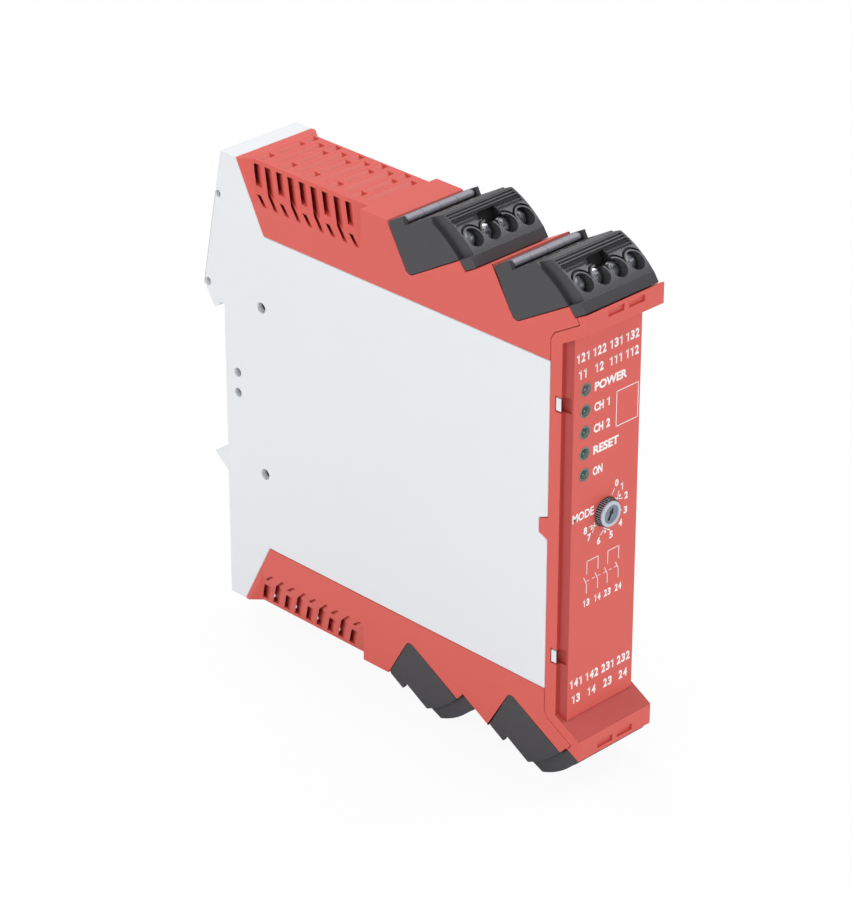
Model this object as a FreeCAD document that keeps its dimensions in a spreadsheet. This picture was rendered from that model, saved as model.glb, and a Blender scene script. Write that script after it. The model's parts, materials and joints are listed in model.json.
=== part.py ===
import FreeCAD, Part
import math
import os
import re
import Sketcher

# Safety relay for a 35 mm rail, 22.5 mm wide, with four plug-in screw terminals.
# Frame: the origin is the middle of the rail seat, X is the width, the front faces -Y, Z is up.
# Depth is counted forward from the seat and height from the middle of the rail, both in mm.

doc = FreeCAD.newDocument("SafetyRelay")
Vector = FreeCAD.Vector

# Driving sizes
SIZES = {
    # Whole housing
    "width": 22.5,
    "half_height": 54.4,
    "plate": 1.5,
    "fit": 0.1,
    # Rear housing outline
    "cap_depth": 4.9,
    "border_depth": 13.35,
    "border_height": 38.3,
    "part_line": 98.0,
    "back_wall": 1.8,
    "hook_reach": 6.2,
    "hook_shoulder": 22.0,
    "hook_knee": 20.9,
    "hook_bottom": 16.5,
    "hook_tip": 3.4,
    "hook_lead": 2.3,
    "rail_slot": 1.5,
    "rail_top": 17.9,
    "wedge_top": 18.1,
    "wedge_tip": 4.4,
    "wedge_knee": 19.9,
    "wedge_base": 23.4,
    # Rail foot and its spring
    "foot_width": 10.6,
    "foot_sheet": 1.2,
    "foot_rear": 0.6,
    "foot_top": 18.3,
    "foot_bottom": 34.6,
    "foot_nose_depth": 4.4,
    "foot_nose_top": 16.0,
    "foot_hook_gap": 1.3,
    "foot_travel": 3.5,
    "foot_lug_height": 28.0,
    "foot_lug_sheet": 1.2,
    "foot_lug_width": 4.0,
    "foot_lug_reach": 5.0,
    "foot_eye": 3.0,
    "spring_radius": 1.8,
    "spring_wire": 0.5,
    "spring_length": 14.0,
    "spring_turns": 5.0,
    "boss_wall": 1.2,
    # Front housing
    "wall": 1.8,
    "sleeve": 1.2,
    "sleeve_start": 14.4,
    "cheek_wall": 4.6,
    "pocket_wall": 1.5,
    "shelf": 16.0,
    "sleeve_height": 44.0,
    # Vents
    "vent_pitch": 3.54,
    "vent_first": 12.2,
    "vent_slot": 1.9,
    "vent_rake": 1.8,
    "vent_low": 45.5,
    "vent_knee": 47.8,
    "vent_short": 49.0,
    "vent_high": 53.4,
    "vent_lean": 1.4,
    "vent_land": 1.2,
    "vent_end": 43.3,
    "vent_knee_recess": 0.7,
    "vent_edge_recess": 2.3,
    "louvre_slot": 2.4,
    "louvre_depth": 1.6,
    "louvre_inner": 4.5,
    "louvre_outer": 8.4,
    "louvre_middle": 6.7,
    "louvre_rib": 1.2,
    # Plug row
    "plug_tilt": 30.0,
    "plug_rear_depth": 57.5,
    "plug_pitch": 30.5,
    "plug_height": 43.7,
    # Plug
    "plug_top": 10.1,
    "plug_cheek": 1.1,
    "plug_corner": 1.5,
    "plug_ear_top": 12.0,
    "plug_ear_length": 4.8,
    "cheek_foot": 16.9,
    "cheek_head": 12.2,
    "cheek_belly": 15.0,
    "cheek_belly_height": 5.4,
    "nose_drop": 2.6,
    "nose_heel": 17.6,
    "nose_toe": 21.1,
    "nose_corner": 15.7,
    "nose_belly": 19.3,
    "nose_belly_height": 4.2,
    "pole_pitch": 5.0,
    "screw_height": 3.2,
    "screw_head": 3.8,
    "screw_head_length": 1.55,
    "screw_seat": 16.3,
    "screw_shank": 2.5,
    "screw_shank_end": 10.4,
    "screw_slot": 0.8,
    "screw_slot_depth": 0.7,
    "screw_hole": 4.2,
    "screw_gap": 0.05,
    "collar": 4.9,
    "collar_recess": 1.4,
    "collar_groove": 0.5,
    "shank_hole": 2.9,
    "tool_slot_width": 4.8,
    "tool_step": 1.8,
    "tool_slot_low": 4.7,
    "tool_slot_high": 7.6,
    "tool_slot_floor": 15.9,
    "rib_depth": 0.35,
    "rib_width": 0.32,
    "rib_pitch": 0.62,
    "pocket_play": 0.15,
    "pocket_ramp": 6.0,
    # Clamp
    "wire_depth": 7.6,
    "wire_hole": 3.3,
    "wire_mouth": 4.3,
    "wire_funnel": 1.4,
    "cage_width": 3.9,
    "cage_wall": 0.6,
    "cage_start": 5.0,
    "cage_end": 12.6,
    "cage_floor": 0.8,
    "cage_nut": 1.4,
    "cage_low": 1.5,
    "cage_high": 5.2,
    "cage_travel": 2.5,
    "cage_play": 0.2,
    "thread_play": 0.05,
    # Contact
    "contact_low": 0.9,
    "contact_sheet": 0.4,
    "contact_width": 2.0,
    "contact_start": 0.9,
    "socket_end": 4.4,
    "socket_top": 3.5,
    "bar_depth": 9.2,
    "bar_sheet": 0.8,
    "bar_top": 5.4,
    "pin": 1.0,
    "pin_height": 2.5,
    "pin_tip": 4.0,
    "header_length": 4.0,
    "header_low": 0.4,
    "header_high": 4.6,
    "header_width": 16.6,
    "pin_tail": 2.5,
    # Release lever
    "lever_pivot": 3.7,
    "lever_height": 11.05,
    "lever_pin": 1.2,
    "lever_thick": 1.7,
    "lever_tail": 0.15,
    "pivot_play": 0.05,
    # Front cover
    "cover_side_end": 101.2,
    "panel_depth": 103.5,
    "panel_half_width": 10.0,
    "panel_height": 43.3,
    "panel_wall": 1.6,
    "cover_wall": 1.65,
    "cover_corner": 43.5,
    "cover_cavity": 42.0,
    "cover_step_depth": 100.0,
    "cover_shoulder": 1.9,
    "tongue_start": 10.2,
    "tongue_drop": 4.3,
    "tongue_length": 17.95,
    "beak_depth": 108.1,
    "beak_top": 52.0,
    "beak_low": 47.2,
    "badge_inner": 0.7,
    "badge_outer": 5.4,
    "badge_low": 49.6,
    "badge_high": 51.1,
    "badge_recess": 0.5,
    "tab_reach": 2.35,
    "tab_base": 2.75,
    "tab_tip": 1.6,
    "latch_low": 27.7,
    "latch_high": 31.1,
    "latch_start": 99.8,
    "latch_end": 101.8,
    "latch_window_end": 103.1,
    "latch_arm": 0.7,
    # Panel fittings
    "lamp": 2.9,
    "lamp_side": 6.4,
    "lamp_top": 32.2,
    "lamp_pitch": 4.85,
    "lamp_tip": 103.3,
    "dial_side": 0.4,
    "dial_height": 1.7,
    "dial": 6.2,
    "dial_hole": 6.6,
    "dial_face": 105.3,
    "dial_slot": 1.1,
    "dial_slot_depth": 0.7,
    "dial_hub": 2.4,
    # Boards and what they carry
    "board": 1.6,
    "board_side": 7.9,
    "board_start": 16.0,
    "board_end": 95.9,
    "board_height": 37.0,
    "front_board_depth": 95.9,
    "front_board_half": 7.9,
    "front_board_height": 38.0,
    "switch": 10.0,
    "switch_length": 4.0,
    "relay_length": 28.0,
    "relay_height": 16.0,
    "relay_width": 12.6,
    "relay_start": 26.0,
    "relay_low": 3.0,
    "core_length": 20.0,
    "core_height": 16.0,
    "core_width": 12.5,
    "core_start": 62.0,
    "core_low": -34.0,
    "can": 8.0,
    "can_length": 12.0,
    "can_start": 66.0,
    "can_low": 6.0,
    "can_pitch": 10.0,
    "chip": 9.0,
    "chip_height": 1.6,
    "chip_start": 68.0,
    "chip_low": 22.0,
}

sheet = doc.addObject("Spreadsheet::Sheet", "Sizes")
for row, (name, value) in enumerate(SIZES.items(), start=1):
    sheet.set(f"A{row}", name)
    sheet.set(f"B{row}", str(value))
    sheet.setAlias(f"B{row}", name)
doc.recompute()


def bound(text):
    """An expression on the sheet from plain size names."""
    return re.sub(r"[a-z_]+", lambda m: "Sizes." + m.group() if m.group() in SIZES else m.group(), str(text))


def number(text):
    """The value of such an expression now."""
    return float(sheet.evalExpression(bound(text)))


# Views: a side sketch is drawn in depth and height, a front one in X and height,
# a top one in depth and X. A prism grows to -X, to the front or up.
VIEWS = {
    "side": FreeCAD.Rotation(Vector(0, -1, 0), Vector(0, 0, 1), Vector(-1, 0, 0), "ZXY"),
    "front": FreeCAD.Rotation(Vector(1, 0, 0), Vector(0, 0, 1), Vector(0, -1, 0), "ZXY"),
    "top": FreeCAD.Rotation(Vector(0, -1, 0), Vector(1, 0, 0), Vector(0, 0, 1), "ZXY"),
}
NODES = []


def outline(name, view, corners):
    """A closed sketch with every corner bound to the sheet.

    A corner is (across, up), or (across, up, middle across, middle up) where an arc
    through that middle leads to the next corner."""
    sketch = doc.addObject("Sketcher::SketchObject", name)
    sketch.Placement = FreeCAD.Placement(Vector(), VIEWS[view])
    spots = [Vector(number(corner[0]), number(corner[1]), 0) for corner in corners]
    rules = []
    values = []
    for index, corner in enumerate(corners):
        after = spots[(index + 1) % len(corners)]
        if len(corner) == 4:
            middle = Vector(number(corner[2]), number(corner[3]), 0)
            sketch.addGeometry(Part.Arc(spots[index], middle, after), False)
        else:
            sketch.addGeometry(Part.LineSegment(spots[index], after), False)
    ends = []
    for index, spot in enumerate(spots):
        edge = sketch.Geometry[index]
        ends.append((1, 2) if edge.StartPoint.distanceToPoint(spot) < 1e-6 else (2, 1))
    for index, corner in enumerate(corners):
        after = (index + 1) % len(corners)
        rules.append(Sketcher.Constraint("Coincident", index, ends[index][1], after, ends[after][0]))
        for axis, text in (("DistanceX", corner[0]), ("DistanceY", corner[1])):
            rules.append(Sketcher.Constraint(axis, -1, 1, index, ends[index][0], number(text)))
            values.append((len(rules) - 1, text))
        if len(corner) == 4:
            spot = sketch.addGeometry(Part.Point(Vector(number(corner[2]), number(corner[3]), 0)), True)
            rules.append(Sketcher.Constraint("PointOnObject", spot, 1, index))
            for axis, text in (("DistanceX", corner[2]), ("DistanceY", corner[3])):
                rules.append(Sketcher.Constraint(axis, -1, 1, spot, 1, number(text)))
                values.append((len(rules) - 1, text))
    sketch.addConstraint(rules)
    for index, text in values:
        sketch.setExpression(f"Constraints[{index}]", bound(text))
    return sketch


def put(thing, view, across, up, start, end):
    """Bind where a sketch or a primitive starts, so that it spans start to end."""
    if view == "side":
        spot = (end, f"-({across})", up)
    elif view == "front":
        spot = (across, f"-({start})", up)
    else:
        spot = (up, f"-({across})", start)
    for axis, text in zip("xyz", spot):
        thing.setExpression(f"Placement.Base.{axis}", bound(text))


def prism(name, view, corners, start, end, lean=None):
    """A sketch grown from start to end across its view, leaning along depth if asked."""
    sketch = outline(name + "_sketch", view, corners)
    put(sketch, view, "0", "0", start, end)
    solid = doc.addObject("Part::Extrusion", name)
    solid.Base = sketch
    solid.Solid = True
    length = f"({end}) - ({start})"
    if lean is None:
        solid.DirMode = "Normal"
    else:
        solid.DirMode = "Custom"
        run = number(lean)
        rise = number(length)
        solid.Dir = Vector(-rise, -run, 0) if view == "side" else Vector(0, -run, rise)
        length = f"sqrt(({length})^2 + ({lean})^2)"
    solid.setExpression("LengthFwd", bound(length))
    return solid


def slab(name, left, right, near, far, low, high):
    """A box between two X values, two depths and two heights."""
    box = doc.addObject("Part::Box", name)
    box.setExpression("Length", bound(f"({right}) - ({left})"))
    box.setExpression("Width", bound(f"({far}) - ({near})"))
    box.setExpression("Height", bound(f"({high}) - ({low})"))
    for axis, text in zip("xyz", (left, f"-({far})", low)):
        box.setExpression(f"Placement.Base.{axis}", bound(text))
    return box


def round_bar(name, view, across, up, across_size, start, end):
    """A cylinder of the given diameter across a view."""
    bar = doc.addObject("Part::Cylinder", name)
    bar.Placement = FreeCAD.Placement(Vector(), VIEWS[view])
    bar.setExpression("Radius", bound(f"({across_size}) / 2"))
    bar.setExpression("Height", bound(f"({end}) - ({start})"))
    put(bar, view, across, up, start, end)
    return bar


def funnel(name, view, across, up, narrow, broad, start, end):
    """A cone that widens from start to end."""
    cone = doc.addObject("Part::Cone", name)
    cone.Placement = FreeCAD.Placement(Vector(), VIEWS[view])
    cone.setExpression("Radius1", bound(f"({narrow}) / 2"))
    cone.setExpression("Radius2", bound(f"({broad}) / 2"))
    cone.setExpression("Height", bound(f"({end}) - ({start})"))
    put(cone, view, across, up, start, end)
    return cone


def joined(name, things):
    """One solid from several that meet."""
    whole = doc.addObject("Part::MultiFuse", name)
    whole.Shapes = things
    whole.Refine = True
    return whole


def group(name, things):
    """Separate solids kept together."""
    whole = doc.addObject("Part::Compound", name)
    whole.Links = things
    return whole


def carved(name, base, tools):
    """A base with every tool cut away."""
    whole = doc.addObject("Part::Cut", name)
    whole.Base = base
    whole.Tool = tools[0] if len(tools) == 1 else joined(name + "_tools", tools)
    whole.Refine = True
    return whole


def shared(name, first, second):
    """What two solids have in common."""
    whole = doc.addObject("Part::Common", name)
    whole.Base = first
    whole.Tool = second
    return whole


def mirrored(name, thing, normal):
    """The same thing on the other side of a plane through the origin."""
    image = doc.addObject("Part::Mirroring", name)
    image.Source = thing
    image.Normal = normal
    return image


def four_ways(name, thing):
    """A tool for the left top, with its images to the right and below."""
    right = mirrored(name + "_right", thing, Vector(1, 0, 0))
    low = mirrored(name + "_low", thing, Vector(0, 0, 1))
    low_right = mirrored(name + "_low_right", right, Vector(0, 0, 1))
    return [thing, right, low, low_right]


def node(label, thing):
    """Name a finished sub-part, which also names its file."""
    thing.Label = label
    NODES.append(thing)
    return thing


def level(things):
    """A list from lists."""
    return [thing for several in things for thing in several]


# Where a plug stands: its own depth runs forward and outward at the plug's tilt,
# and its own height runs outward from the pocket floor.
TILT = number("plug_tilt")
ROWS = {
    "top_rear": ("plug_rear_depth", 1),
    "top_front": ("plug_rear_depth + plug_pitch", 1),
    "bottom_rear": ("plug_rear_depth", -1),
    "bottom_front": ("plug_rear_depth + plug_pitch", -1),
}
POLES = (-1.5, -0.5, 0.5, 1.5)


def plug_turn(side):
    """The turn from a plug's own frame to the relay's, for the top or the bottom side."""
    if side > 0:
        return FreeCAD.Rotation(Vector(1, 0, 0), -TILT)
    half = FreeCAD.Rotation(Vector(1, 0, 0), TILT / 2).multVec(Vector(0, 1, 0))
    return FreeCAD.Rotation(half, 180)


def in_row(name, thing, row, shift="0"):
    """A copy of a thing made in a plug's frame, stood at one of the four plugs."""
    depth, side = ROWS[row]
    copy = doc.addObject("Part::Compound", name)
    copy.Links = [thing]
    copy.Placement = FreeCAD.Placement(Vector(), plug_turn(side))
    for axis, text in zip("xyz", (shift, f"-({depth})", f"{side} * plug_height")):
        copy.setExpression(f"Placement.Base.{axis}", bound(text))
    return copy


def depth_of(row_depth, along, out):
    """Depth in the relay of a point in a top plug's frame."""
    return f"{row_depth} + ({along}) * cos(plug_tilt) - ({out}) * sin(plug_tilt)"


def height_of(along, out):
    """Height in the relay of a point in a top plug's frame."""
    return f"plug_height + ({along}) * sin(plug_tilt) + ({out}) * cos(plug_tilt)"


def flipped(corners):
    """The same corners below the middle, in the other order."""
    return [(across, f"-({up})") for across, up in reversed(corners)]


EDGE = "width / 2"
INNER = "(width / 2 - plate)"
REAR = "plug_rear_depth"
FRONT = "(plug_rear_depth + plug_pitch)"
BACK = "(pocket_wall + pocket_play)"

# Rear housing: one light grey moulding with two side plates, the rail hooks and the latches
rear_outline = [
    ("0", "half_height"), ("cap_depth", "half_height"), ("border_depth", "border_height"),
    ("part_line", "border_height"), ("part_line", "-border_height"),
    ("border_depth", "-border_height"), ("cap_depth", "-half_height"), ("0", "-half_height"),
    ("0", "-wedge_base"), ("-wedge_tip", "-wedge_knee"), ("0", "-wedge_top"), ("0", "rail_top"),
    ("-rail_slot", "rail_top"), ("-rail_slot", "hook_bottom + 1"), ("-hook_lead", "hook_bottom"),
    ("-hook_tip", "hook_bottom"), ("-hook_reach", "hook_knee"), ("-hook_reach", "hook_shoulder"),
]
rear_room = [
    ("back_wall", "half_height - wall"), ("part_line + 1", "half_height - wall"),
    ("part_line + 1", "wall - half_height"), ("back_wall", "wall - half_height"),
    ("back_wall", "rail_top + back_wall"), ("back_wall - hook_reach", "hook_knee + wall / 2"),
    ("back_wall - hook_reach", "hook_shoulder"),
]
rear_block = prism("rear_block", "side", rear_outline, f"-({EDGE})", EDGE)
rear_hollow = prism("rear_hollow", "side", rear_room, f"-{INNER}", INNER)
LUG_PLAY = "0.2"
spring_room = "(foot_lug_reach + 0.6)"
boss_half = "(spring_radius + spring_wire + 0.1)"
spring_bottom = "(foot_lug_height + foot_lug_sheet + spring_length + 0.5)"
spring_boss = slab("spring_boss", f"-({boss_half} + boss_wall)", f"{boss_half} + boss_wall", "back_wall - 0.5",
                   f"{spring_room} + boss_wall", f"-({spring_bottom} + boss_wall)", "-(foot_lug_height - 1.8)")
spring_pocket = slab("spring_pocket", f"-{boss_half}", boss_half, "0.1", spring_room,
                     f"-{spring_bottom}", "-(foot_lug_height - 0.6)")
foot_channel = slab("foot_channel", "-(foot_width / 2 + 0.2)", "foot_width / 2 + 0.2", "-(hook_reach + 1)",
                    "foot_sheet / 2 + 0.2", "-(foot_bottom + foot_travel + 0.4)", "-(wedge_top - 0.3)")
latch_arm = slab("latch_arm", f"-({INNER} + latch_arm)", f"-{INNER}", "part_line - 2", "latch_end",
                 "latch_low + 0.3", "latch_high - 0.3")
latch_nose = slab("latch_nose", f"-({EDGE} - fit)", f"-{INNER}", "latch_start", "latch_end",
                  "latch_low + 0.3", "latch_high - 0.3")
latch_parts = level(four_ways(thing.Name, thing) for thing in (latch_arm, latch_nose))
tab_corners = [
    ("part_line + 0.3", "tab_base + fit"), ("part_line - tab_reach - fit", "tab_tip + fit"),
    ("part_line - tab_reach - fit", "-(tab_tip + fit)"), ("part_line + 0.3", "-(tab_base + fit)"),
]
tab_seat = prism("tab_seat", "side", tab_corners, f"-({EDGE} + 1)", f"{EDGE} + 1")
plate_holes = []
for number_of, (depth, height, size) in enumerate((
        (-0.92, 43.97, 1.7), (-4.98, 21.8, 2.0), (12.2, 21.0, 2.6),
        (4.06, 2.58, 2.2), (4.06, -2.4, 2.2), (12.4, -19.8, 2.6)), start=1):
    hole = round_bar(f"plate_hole_{number_of}", "side", depth, height, size, f"{INNER} - 0.5", f"{EDGE} + 1")
    plate_holes += [hole, mirrored(f"plate_hole_right_{number_of}", hole, Vector(1, 0, 0))]
rear_shell = carved("rear_shell", rear_block, [rear_hollow])
rear_whole = joined("rear_whole", [rear_shell, spring_boss] + latch_parts)
node("rear_housing", carved("rear_housing", rear_whole, [spring_pocket, foot_channel, tab_seat] + plate_holes))

# Rail foot: folded steel that snaps behind the lower edge of the rail
foot_outline = [
    ("foot_sheet / 2", "-foot_bottom"), ("foot_sheet / 2", "-foot_top"), ("-foot_hook_gap", "-foot_top"),
    ("-foot_hook_gap", "-foot_nose_top"), ("-foot_hook_gap - 0.9", "-foot_nose_top"),
    ("-foot_nose_depth", "-(foot_nose_top + 2.2)"), ("-foot_nose_depth", "-(foot_nose_top + 3.1)"),
    ("-foot_sheet", "-(foot_top + 2)"), ("-foot_sheet / 2", "-(foot_top + 3)"), ("-foot_sheet / 2", "-foot_bottom"),
]
foot_strip = prism("foot_strip", "side", foot_outline, "-foot_width / 2", "foot_width / 2")
foot_lug = slab("foot_lug", "-foot_lug_width / 2", "foot_lug_width / 2", "0", "foot_lug_reach",
                "-(foot_lug_height + foot_lug_sheet)", "-foot_lug_height")
foot_eye = slab("foot_eye", "-foot_eye / 2", "foot_eye / 2", "-2", "2",
                "-(foot_bottom - 1.2)", "-(foot_bottom - 2.8)")
node("rail_foot", carved("rail_foot", joined("foot_whole", [foot_strip, foot_lug]), [foot_eye]))

# Foot spring: a wound spring between the lug and the floor of its pocket
helix_radius = number("spring_radius")
runs = 12
turns = number("spring_turns")
ring = [Vector(helix_radius * math.cos(step * 2 * math.pi / runs), helix_radius * math.sin(step * 2 * math.pi / runs),
               step / runs * number("spring_length") / turns) for step in range(round(turns * runs) + 1)]
wire_radius = number("spring_wire / 2")
corners = [Vector(helix_radius + wire_radius * math.cos(step * math.pi / 3), 0, wire_radius * math.sin(step * math.pi / 3))
           for step in range(6)]
section = Part.makePolygon(corners + corners[:1])
coil = doc.addObject("Part::Feature", "foot_spring")
coil.Shape = Part.makePolygon(ring).makePipeShell([section], True, False, 1)
coil.Placement = FreeCAD.Placement(Vector(0, number(f"-({spring_room} - {boss_half})"),
                                          number(f"-({spring_bottom} - 0.3)")), FreeCAD.Rotation())
node("foot_spring", coil)

# Front housing: one red moulding, a sleeve inside the plates with a vented head and foot
SLEEVE = f"({INNER} - fit)"
tongue_rise = "(half_height - plug_height - tongue_length * sin(plug_tilt)) / cos(plug_tilt)"
cheek = [
    ("cap_depth + fit", "half_height"),
    (depth_of(FRONT, "tongue_length", tongue_rise), "half_height"),
    (depth_of(FRONT, "tongue_length", "-tongue_drop"), height_of("tongue_length", "-tongue_drop")),
    (depth_of(FRONT, "tongue_start", "-tongue_drop"), height_of("tongue_start", "-tongue_drop")),
    ("part_line", "cover_corner"), ("part_line", "border_height + fit"),
    ("border_depth + fit / 2", "border_height + fit"),
]
roof = f"((half_height - wall - plug_height + {BACK} * sin(plug_tilt)) / cos(plug_tilt))"
shelf_floor = height_of("shelf", f"-nose_drop - {BACK}")
link = f"((({shelf_floor}) - plug_height + {BACK} * sin(plug_tilt)) / cos(plug_tilt))"
bay = [
    ("cap_depth - 1", "half_height - wall"),
    (depth_of(REAR, f"-{BACK}", roof), "half_height - wall"),
    (depth_of(REAR, f"-{BACK}", f"-{BACK}"), height_of(f"-{BACK}", f"-{BACK}")),
    (depth_of(REAR, "shelf - 1", f"-{BACK}"), height_of("shelf - 1", f"-{BACK}")),
    (depth_of(REAR, "shelf", f"-nose_drop - {BACK}"), shelf_floor),
    (depth_of(FRONT, f"-{BACK}", link), shelf_floor),
    (depth_of(FRONT, f"-{BACK}", f"-{BACK}"), height_of(f"-{BACK}", f"-{BACK}")),
    ("part_line + 1", height_of(f"-{BACK}", f"-{BACK}")),
]
sleeve = slab("sleeve_block", f"-{SLEEVE}", SLEEVE, "sleeve_start", "part_line", "-(border_height + 2)",
              "border_height + 2")
head = prism("head_block", "side", cheek, f"-({EDGE})", EDGE)
foot = mirrored("foot_block", head, Vector(0, 0, 1))
bay_half = f"({EDGE} - cheek_wall)"
sleeve_half = f"({SLEEVE} - sleeve)"
full_bay = prism("full_bay", "side", bay + flipped(bay), f"-{bay_half}", bay_half)
wide_bay = slab("wide_bay", f"-{sleeve_half}", sleeve_half, "sleeve_start - 1", "part_line + 1",
                f"-({height_of(f'-{BACK}', f'-{BACK}')})", height_of(f"-{BACK}", f"-{BACK}"))

# Plug pockets, open to the outside over the whole width and ramped in front, where the plug slides out
pocket_outline = [
    ("plug_corner", "-pocket_play"), ("nose_heel - nose_drop / 4", "-pocket_play"),
    ("nose_heel - pocket_play", "-nose_drop - pocket_play"),
    ("nose_toe + pocket_ramp", "-nose_drop - pocket_play"), ("nose_toe + pocket_ramp", "plug_ear_top + 3"),
    ("-pocket_play", "plug_ear_top + 3"),
    ("-pocket_play", "plug_corner", "plug_corner * (1 - cos(45)) - pocket_play * 0.7",
     "plug_corner * (1 - cos(45)) - pocket_play * 0.7"),
]
pocket = prism("pocket_tool", "side", pocket_outline, f"-({EDGE} + 1)", f"{EDGE} + 1")
pin_slots = [slab(f"pin_slot_{index}", f"{pole} * pole_pitch - pin * 0.6", f"{pole} * pole_pitch + pin * 0.6",
                  f"-{BACK} - 1", "0", "pin_height - pin * 0.6", "pin_height + pin * 0.6")
             for index, pole in enumerate(POLES)]
header_room = slab("header_room", "-(header_width / 2 + 0.15)", "header_width / 2 + 0.15", f"-{BACK} - 7",
                   f"-{BACK}", "header_low - 0.3", "header_high + 0.3")
pocket_set = joined("pocket_set", [pocket, header_room] + pin_slots)
pockets = [in_row(f"pocket_{row}", pocket_set, row) for row in ROWS]

# Vents: fields sunk into both sides of head and foot, their rear ends ramped along the border,
# with raked slots across them and rows of louvres in the top and the bottom
field = prism("field_profile", "front", [
    (f"-({EDGE} + 1)", "vent_low"), (f"-({EDGE})", "vent_low"), (f"-({EDGE} - vent_knee_recess)", "vent_knee"),
    (f"-({EDGE} - vent_edge_recess)", "half_height"), (f"-({EDGE} - vent_edge_recess)", "half_height + 1"),
    (f"-({EDGE} + 1)", "half_height + 1")], "cap_depth", "vent_end")
border_slope = "((border_depth - cap_depth) / (half_height - border_height))"
ramp = prism("field_ramp", "side", [
    (f"cap_depth + vent_land + vent_edge_recess + (half_height - vent_low + 1) * {border_slope}", "vent_low - 1"),
    ("vent_end + 2 * vent_edge_recess", "vent_low - 1"), ("vent_end + 2 * vent_edge_recess", "half_height + 2"),
    (f"cap_depth + vent_land + vent_edge_recess - 2 * {border_slope}", "half_height + 2")],
    f"-({EDGE} + 1)", f"-({EDGE} - vent_edge_recess)", lean="-(1 + vent_edge_recess)")
fields = four_ways("field", shared("field", field, ramp))


def raked(at, grow):
    """Corners of a raked slot in the top view, from outside the wall to behind it."""
    outside = f"-({EDGE} + 1)"
    inside = f"-({EDGE} - cheek_wall - 0.2)"
    shift = "vent_rake * (cheek_wall + 0.2)"
    return [(f"{at} + vent_rake", outside), (f"{at} + vent_slot * {grow} + vent_rake", outside),
            (f"{at} + vent_slot * {grow} - {shift}", inside), (f"{at} - {shift}", inside)]


slots = []
for index in range(9):
    at = f"vent_first + {index} * vent_pitch"
    low = "vent_short" if index % 2 == 0 else "vent_knee"
    slots.append(prism(f"slot_{index}", "top", raked(at, 1), low, "vent_high"))
    top = "vent_knee - 0.5" if index % 2 == 0 else "vent_knee"
    slots.append(prism(f"ramp_slot_{index}", "top", raked(f"{at} + vent_lean", 0.6), "vent_low - 0.2", top,
                       lean="-vent_lean"))
slot_set = group("slot_set", four_ways("slots", joined("slots", slots)))
louvres = []
for index in range(10):
    at = f"vent_first + {index} * vent_pitch - vent_rake * vent_edge_recess"
    teeth = [(at, "half_height + 1"), (at, "half_height"), (f"{at} + louvre_slot", "half_height - louvre_depth"),
             (f"{at} + louvre_slot", "half_height + 1")]
    if index % 2:
        spans = [("-louvre_middle", "louvre_middle")]
    else:
        spans = [("-louvre_outer", "-louvre_inner"), ("louvre_rib - louvre_inner", "louvre_inner"),
                 ("louvre_inner + louvre_rib", "louvre_outer")]
    for part, (left, right) in enumerate(spans):
        louvres.append(prism(f"louvre_{index}_{part}", "side", teeth, left, right))
louvre_rows = group("louvre_rows", louvres)
louvre_set = group("louvre_set", [louvre_rows, mirrored("louvre_rows_low", louvre_rows, Vector(0, 0, 1))])
front_shell = carved("front_shell", joined("front_block", [sleeve, head, foot]), [full_bay, wide_bay])
front_open = carved("front_open", front_shell, pockets)
pads = [slab("board_pad_high", f"-{sleeve_half} - 0.2", "-board_side", "board_start", "board_end - 2",
             "board_height - 3", "board_height"),
        slab("board_pad_low", f"-{sleeve_half} - 0.2", "-board_side", "board_start", "board_end - 2",
             "-board_height", "3 - board_height")]
front_padded = joined("front_padded", [front_open] + pads)
front_sunk = carved("front_sunk", front_padded, [group("fields", fields)])
front_slotted = carved("front_slotted", front_sunk, [slot_set])
node("front_housing", carved("front_housing", front_slotted, [louvre_set]))

# Plug: one black moulding with four clamp chambers, drawn in its own frame
CHEEK = f"({EDGE} - plug_cheek)"
ROUND = "plug_corner * (1 - cos(45))"
core = prism("plug_core", "side", [
    ("0", "plug_corner", ROUND, ROUND), ("plug_corner", "0"), ("nose_heel - nose_drop / 5", "0"),
    ("nose_heel", "-nose_drop"), ("nose_toe", "-nose_drop", "nose_belly", "nose_belly_height"),
    ("nose_corner", "plug_top - 0.4"), ("nose_corner - 4.2", "plug_top"), ("0", "plug_top")],
    f"-{CHEEK}", CHEEK)
side_wall = prism("plug_side_wall", "side", [
    ("0", "plug_corner", ROUND, ROUND), ("plug_corner", "0"),
    ("cheek_foot", "0", "cheek_belly", "cheek_belly_height"), ("cheek_head", "plug_top"),
    ("plug_ear_length", "plug_top"), ("plug_ear_length", "plug_ear_top"), ("0.5", "plug_ear_top"),
    ("0", "plug_ear_top - 0.5")], f"-({EDGE} - fit / 2)", f"-{CHEEK}")
toe = prism("plug_toe", "side", [
    ("nose_heel - nose_drop / 5", "0"), ("nose_heel", "-nose_drop"), ("nose_toe", "-nose_drop"),
    ("nose_toe - 0.2", "0")], f"-({EDGE} - fit / 2)", f"{EDGE} - fit / 2")
solid_plug = joined("plug_solid", [core, side_wall, mirrored("plug_other_wall", side_wall, Vector(1, 0, 0)), toe])
pivot_hole = round_bar("pivot_hole", "side", "lever_pivot", "lever_height", "lever_pin + 2 * pivot_play",
                       f"-({CHEEK} + 0.7)", f"{CHEEK} + 0.7")
screw_bore = round_bar("screw_bore", "front", "0", "screw_height", "screw_hole", "screw_seat", "nose_toe + 1")
shank_bore = round_bar("shank_bore", "front", "0", "screw_height", "shank_hole", "screw_seat - 1.5", "screw_seat + 0.5")
cage_room = slab("cage_room", "-(cage_width / 2 + cage_play)", "cage_width / 2 + cage_play",
                 "cage_start - 0.3", "cage_end + cage_travel + 0.2", "contact_low", "bar_top + 0.1")
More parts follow.
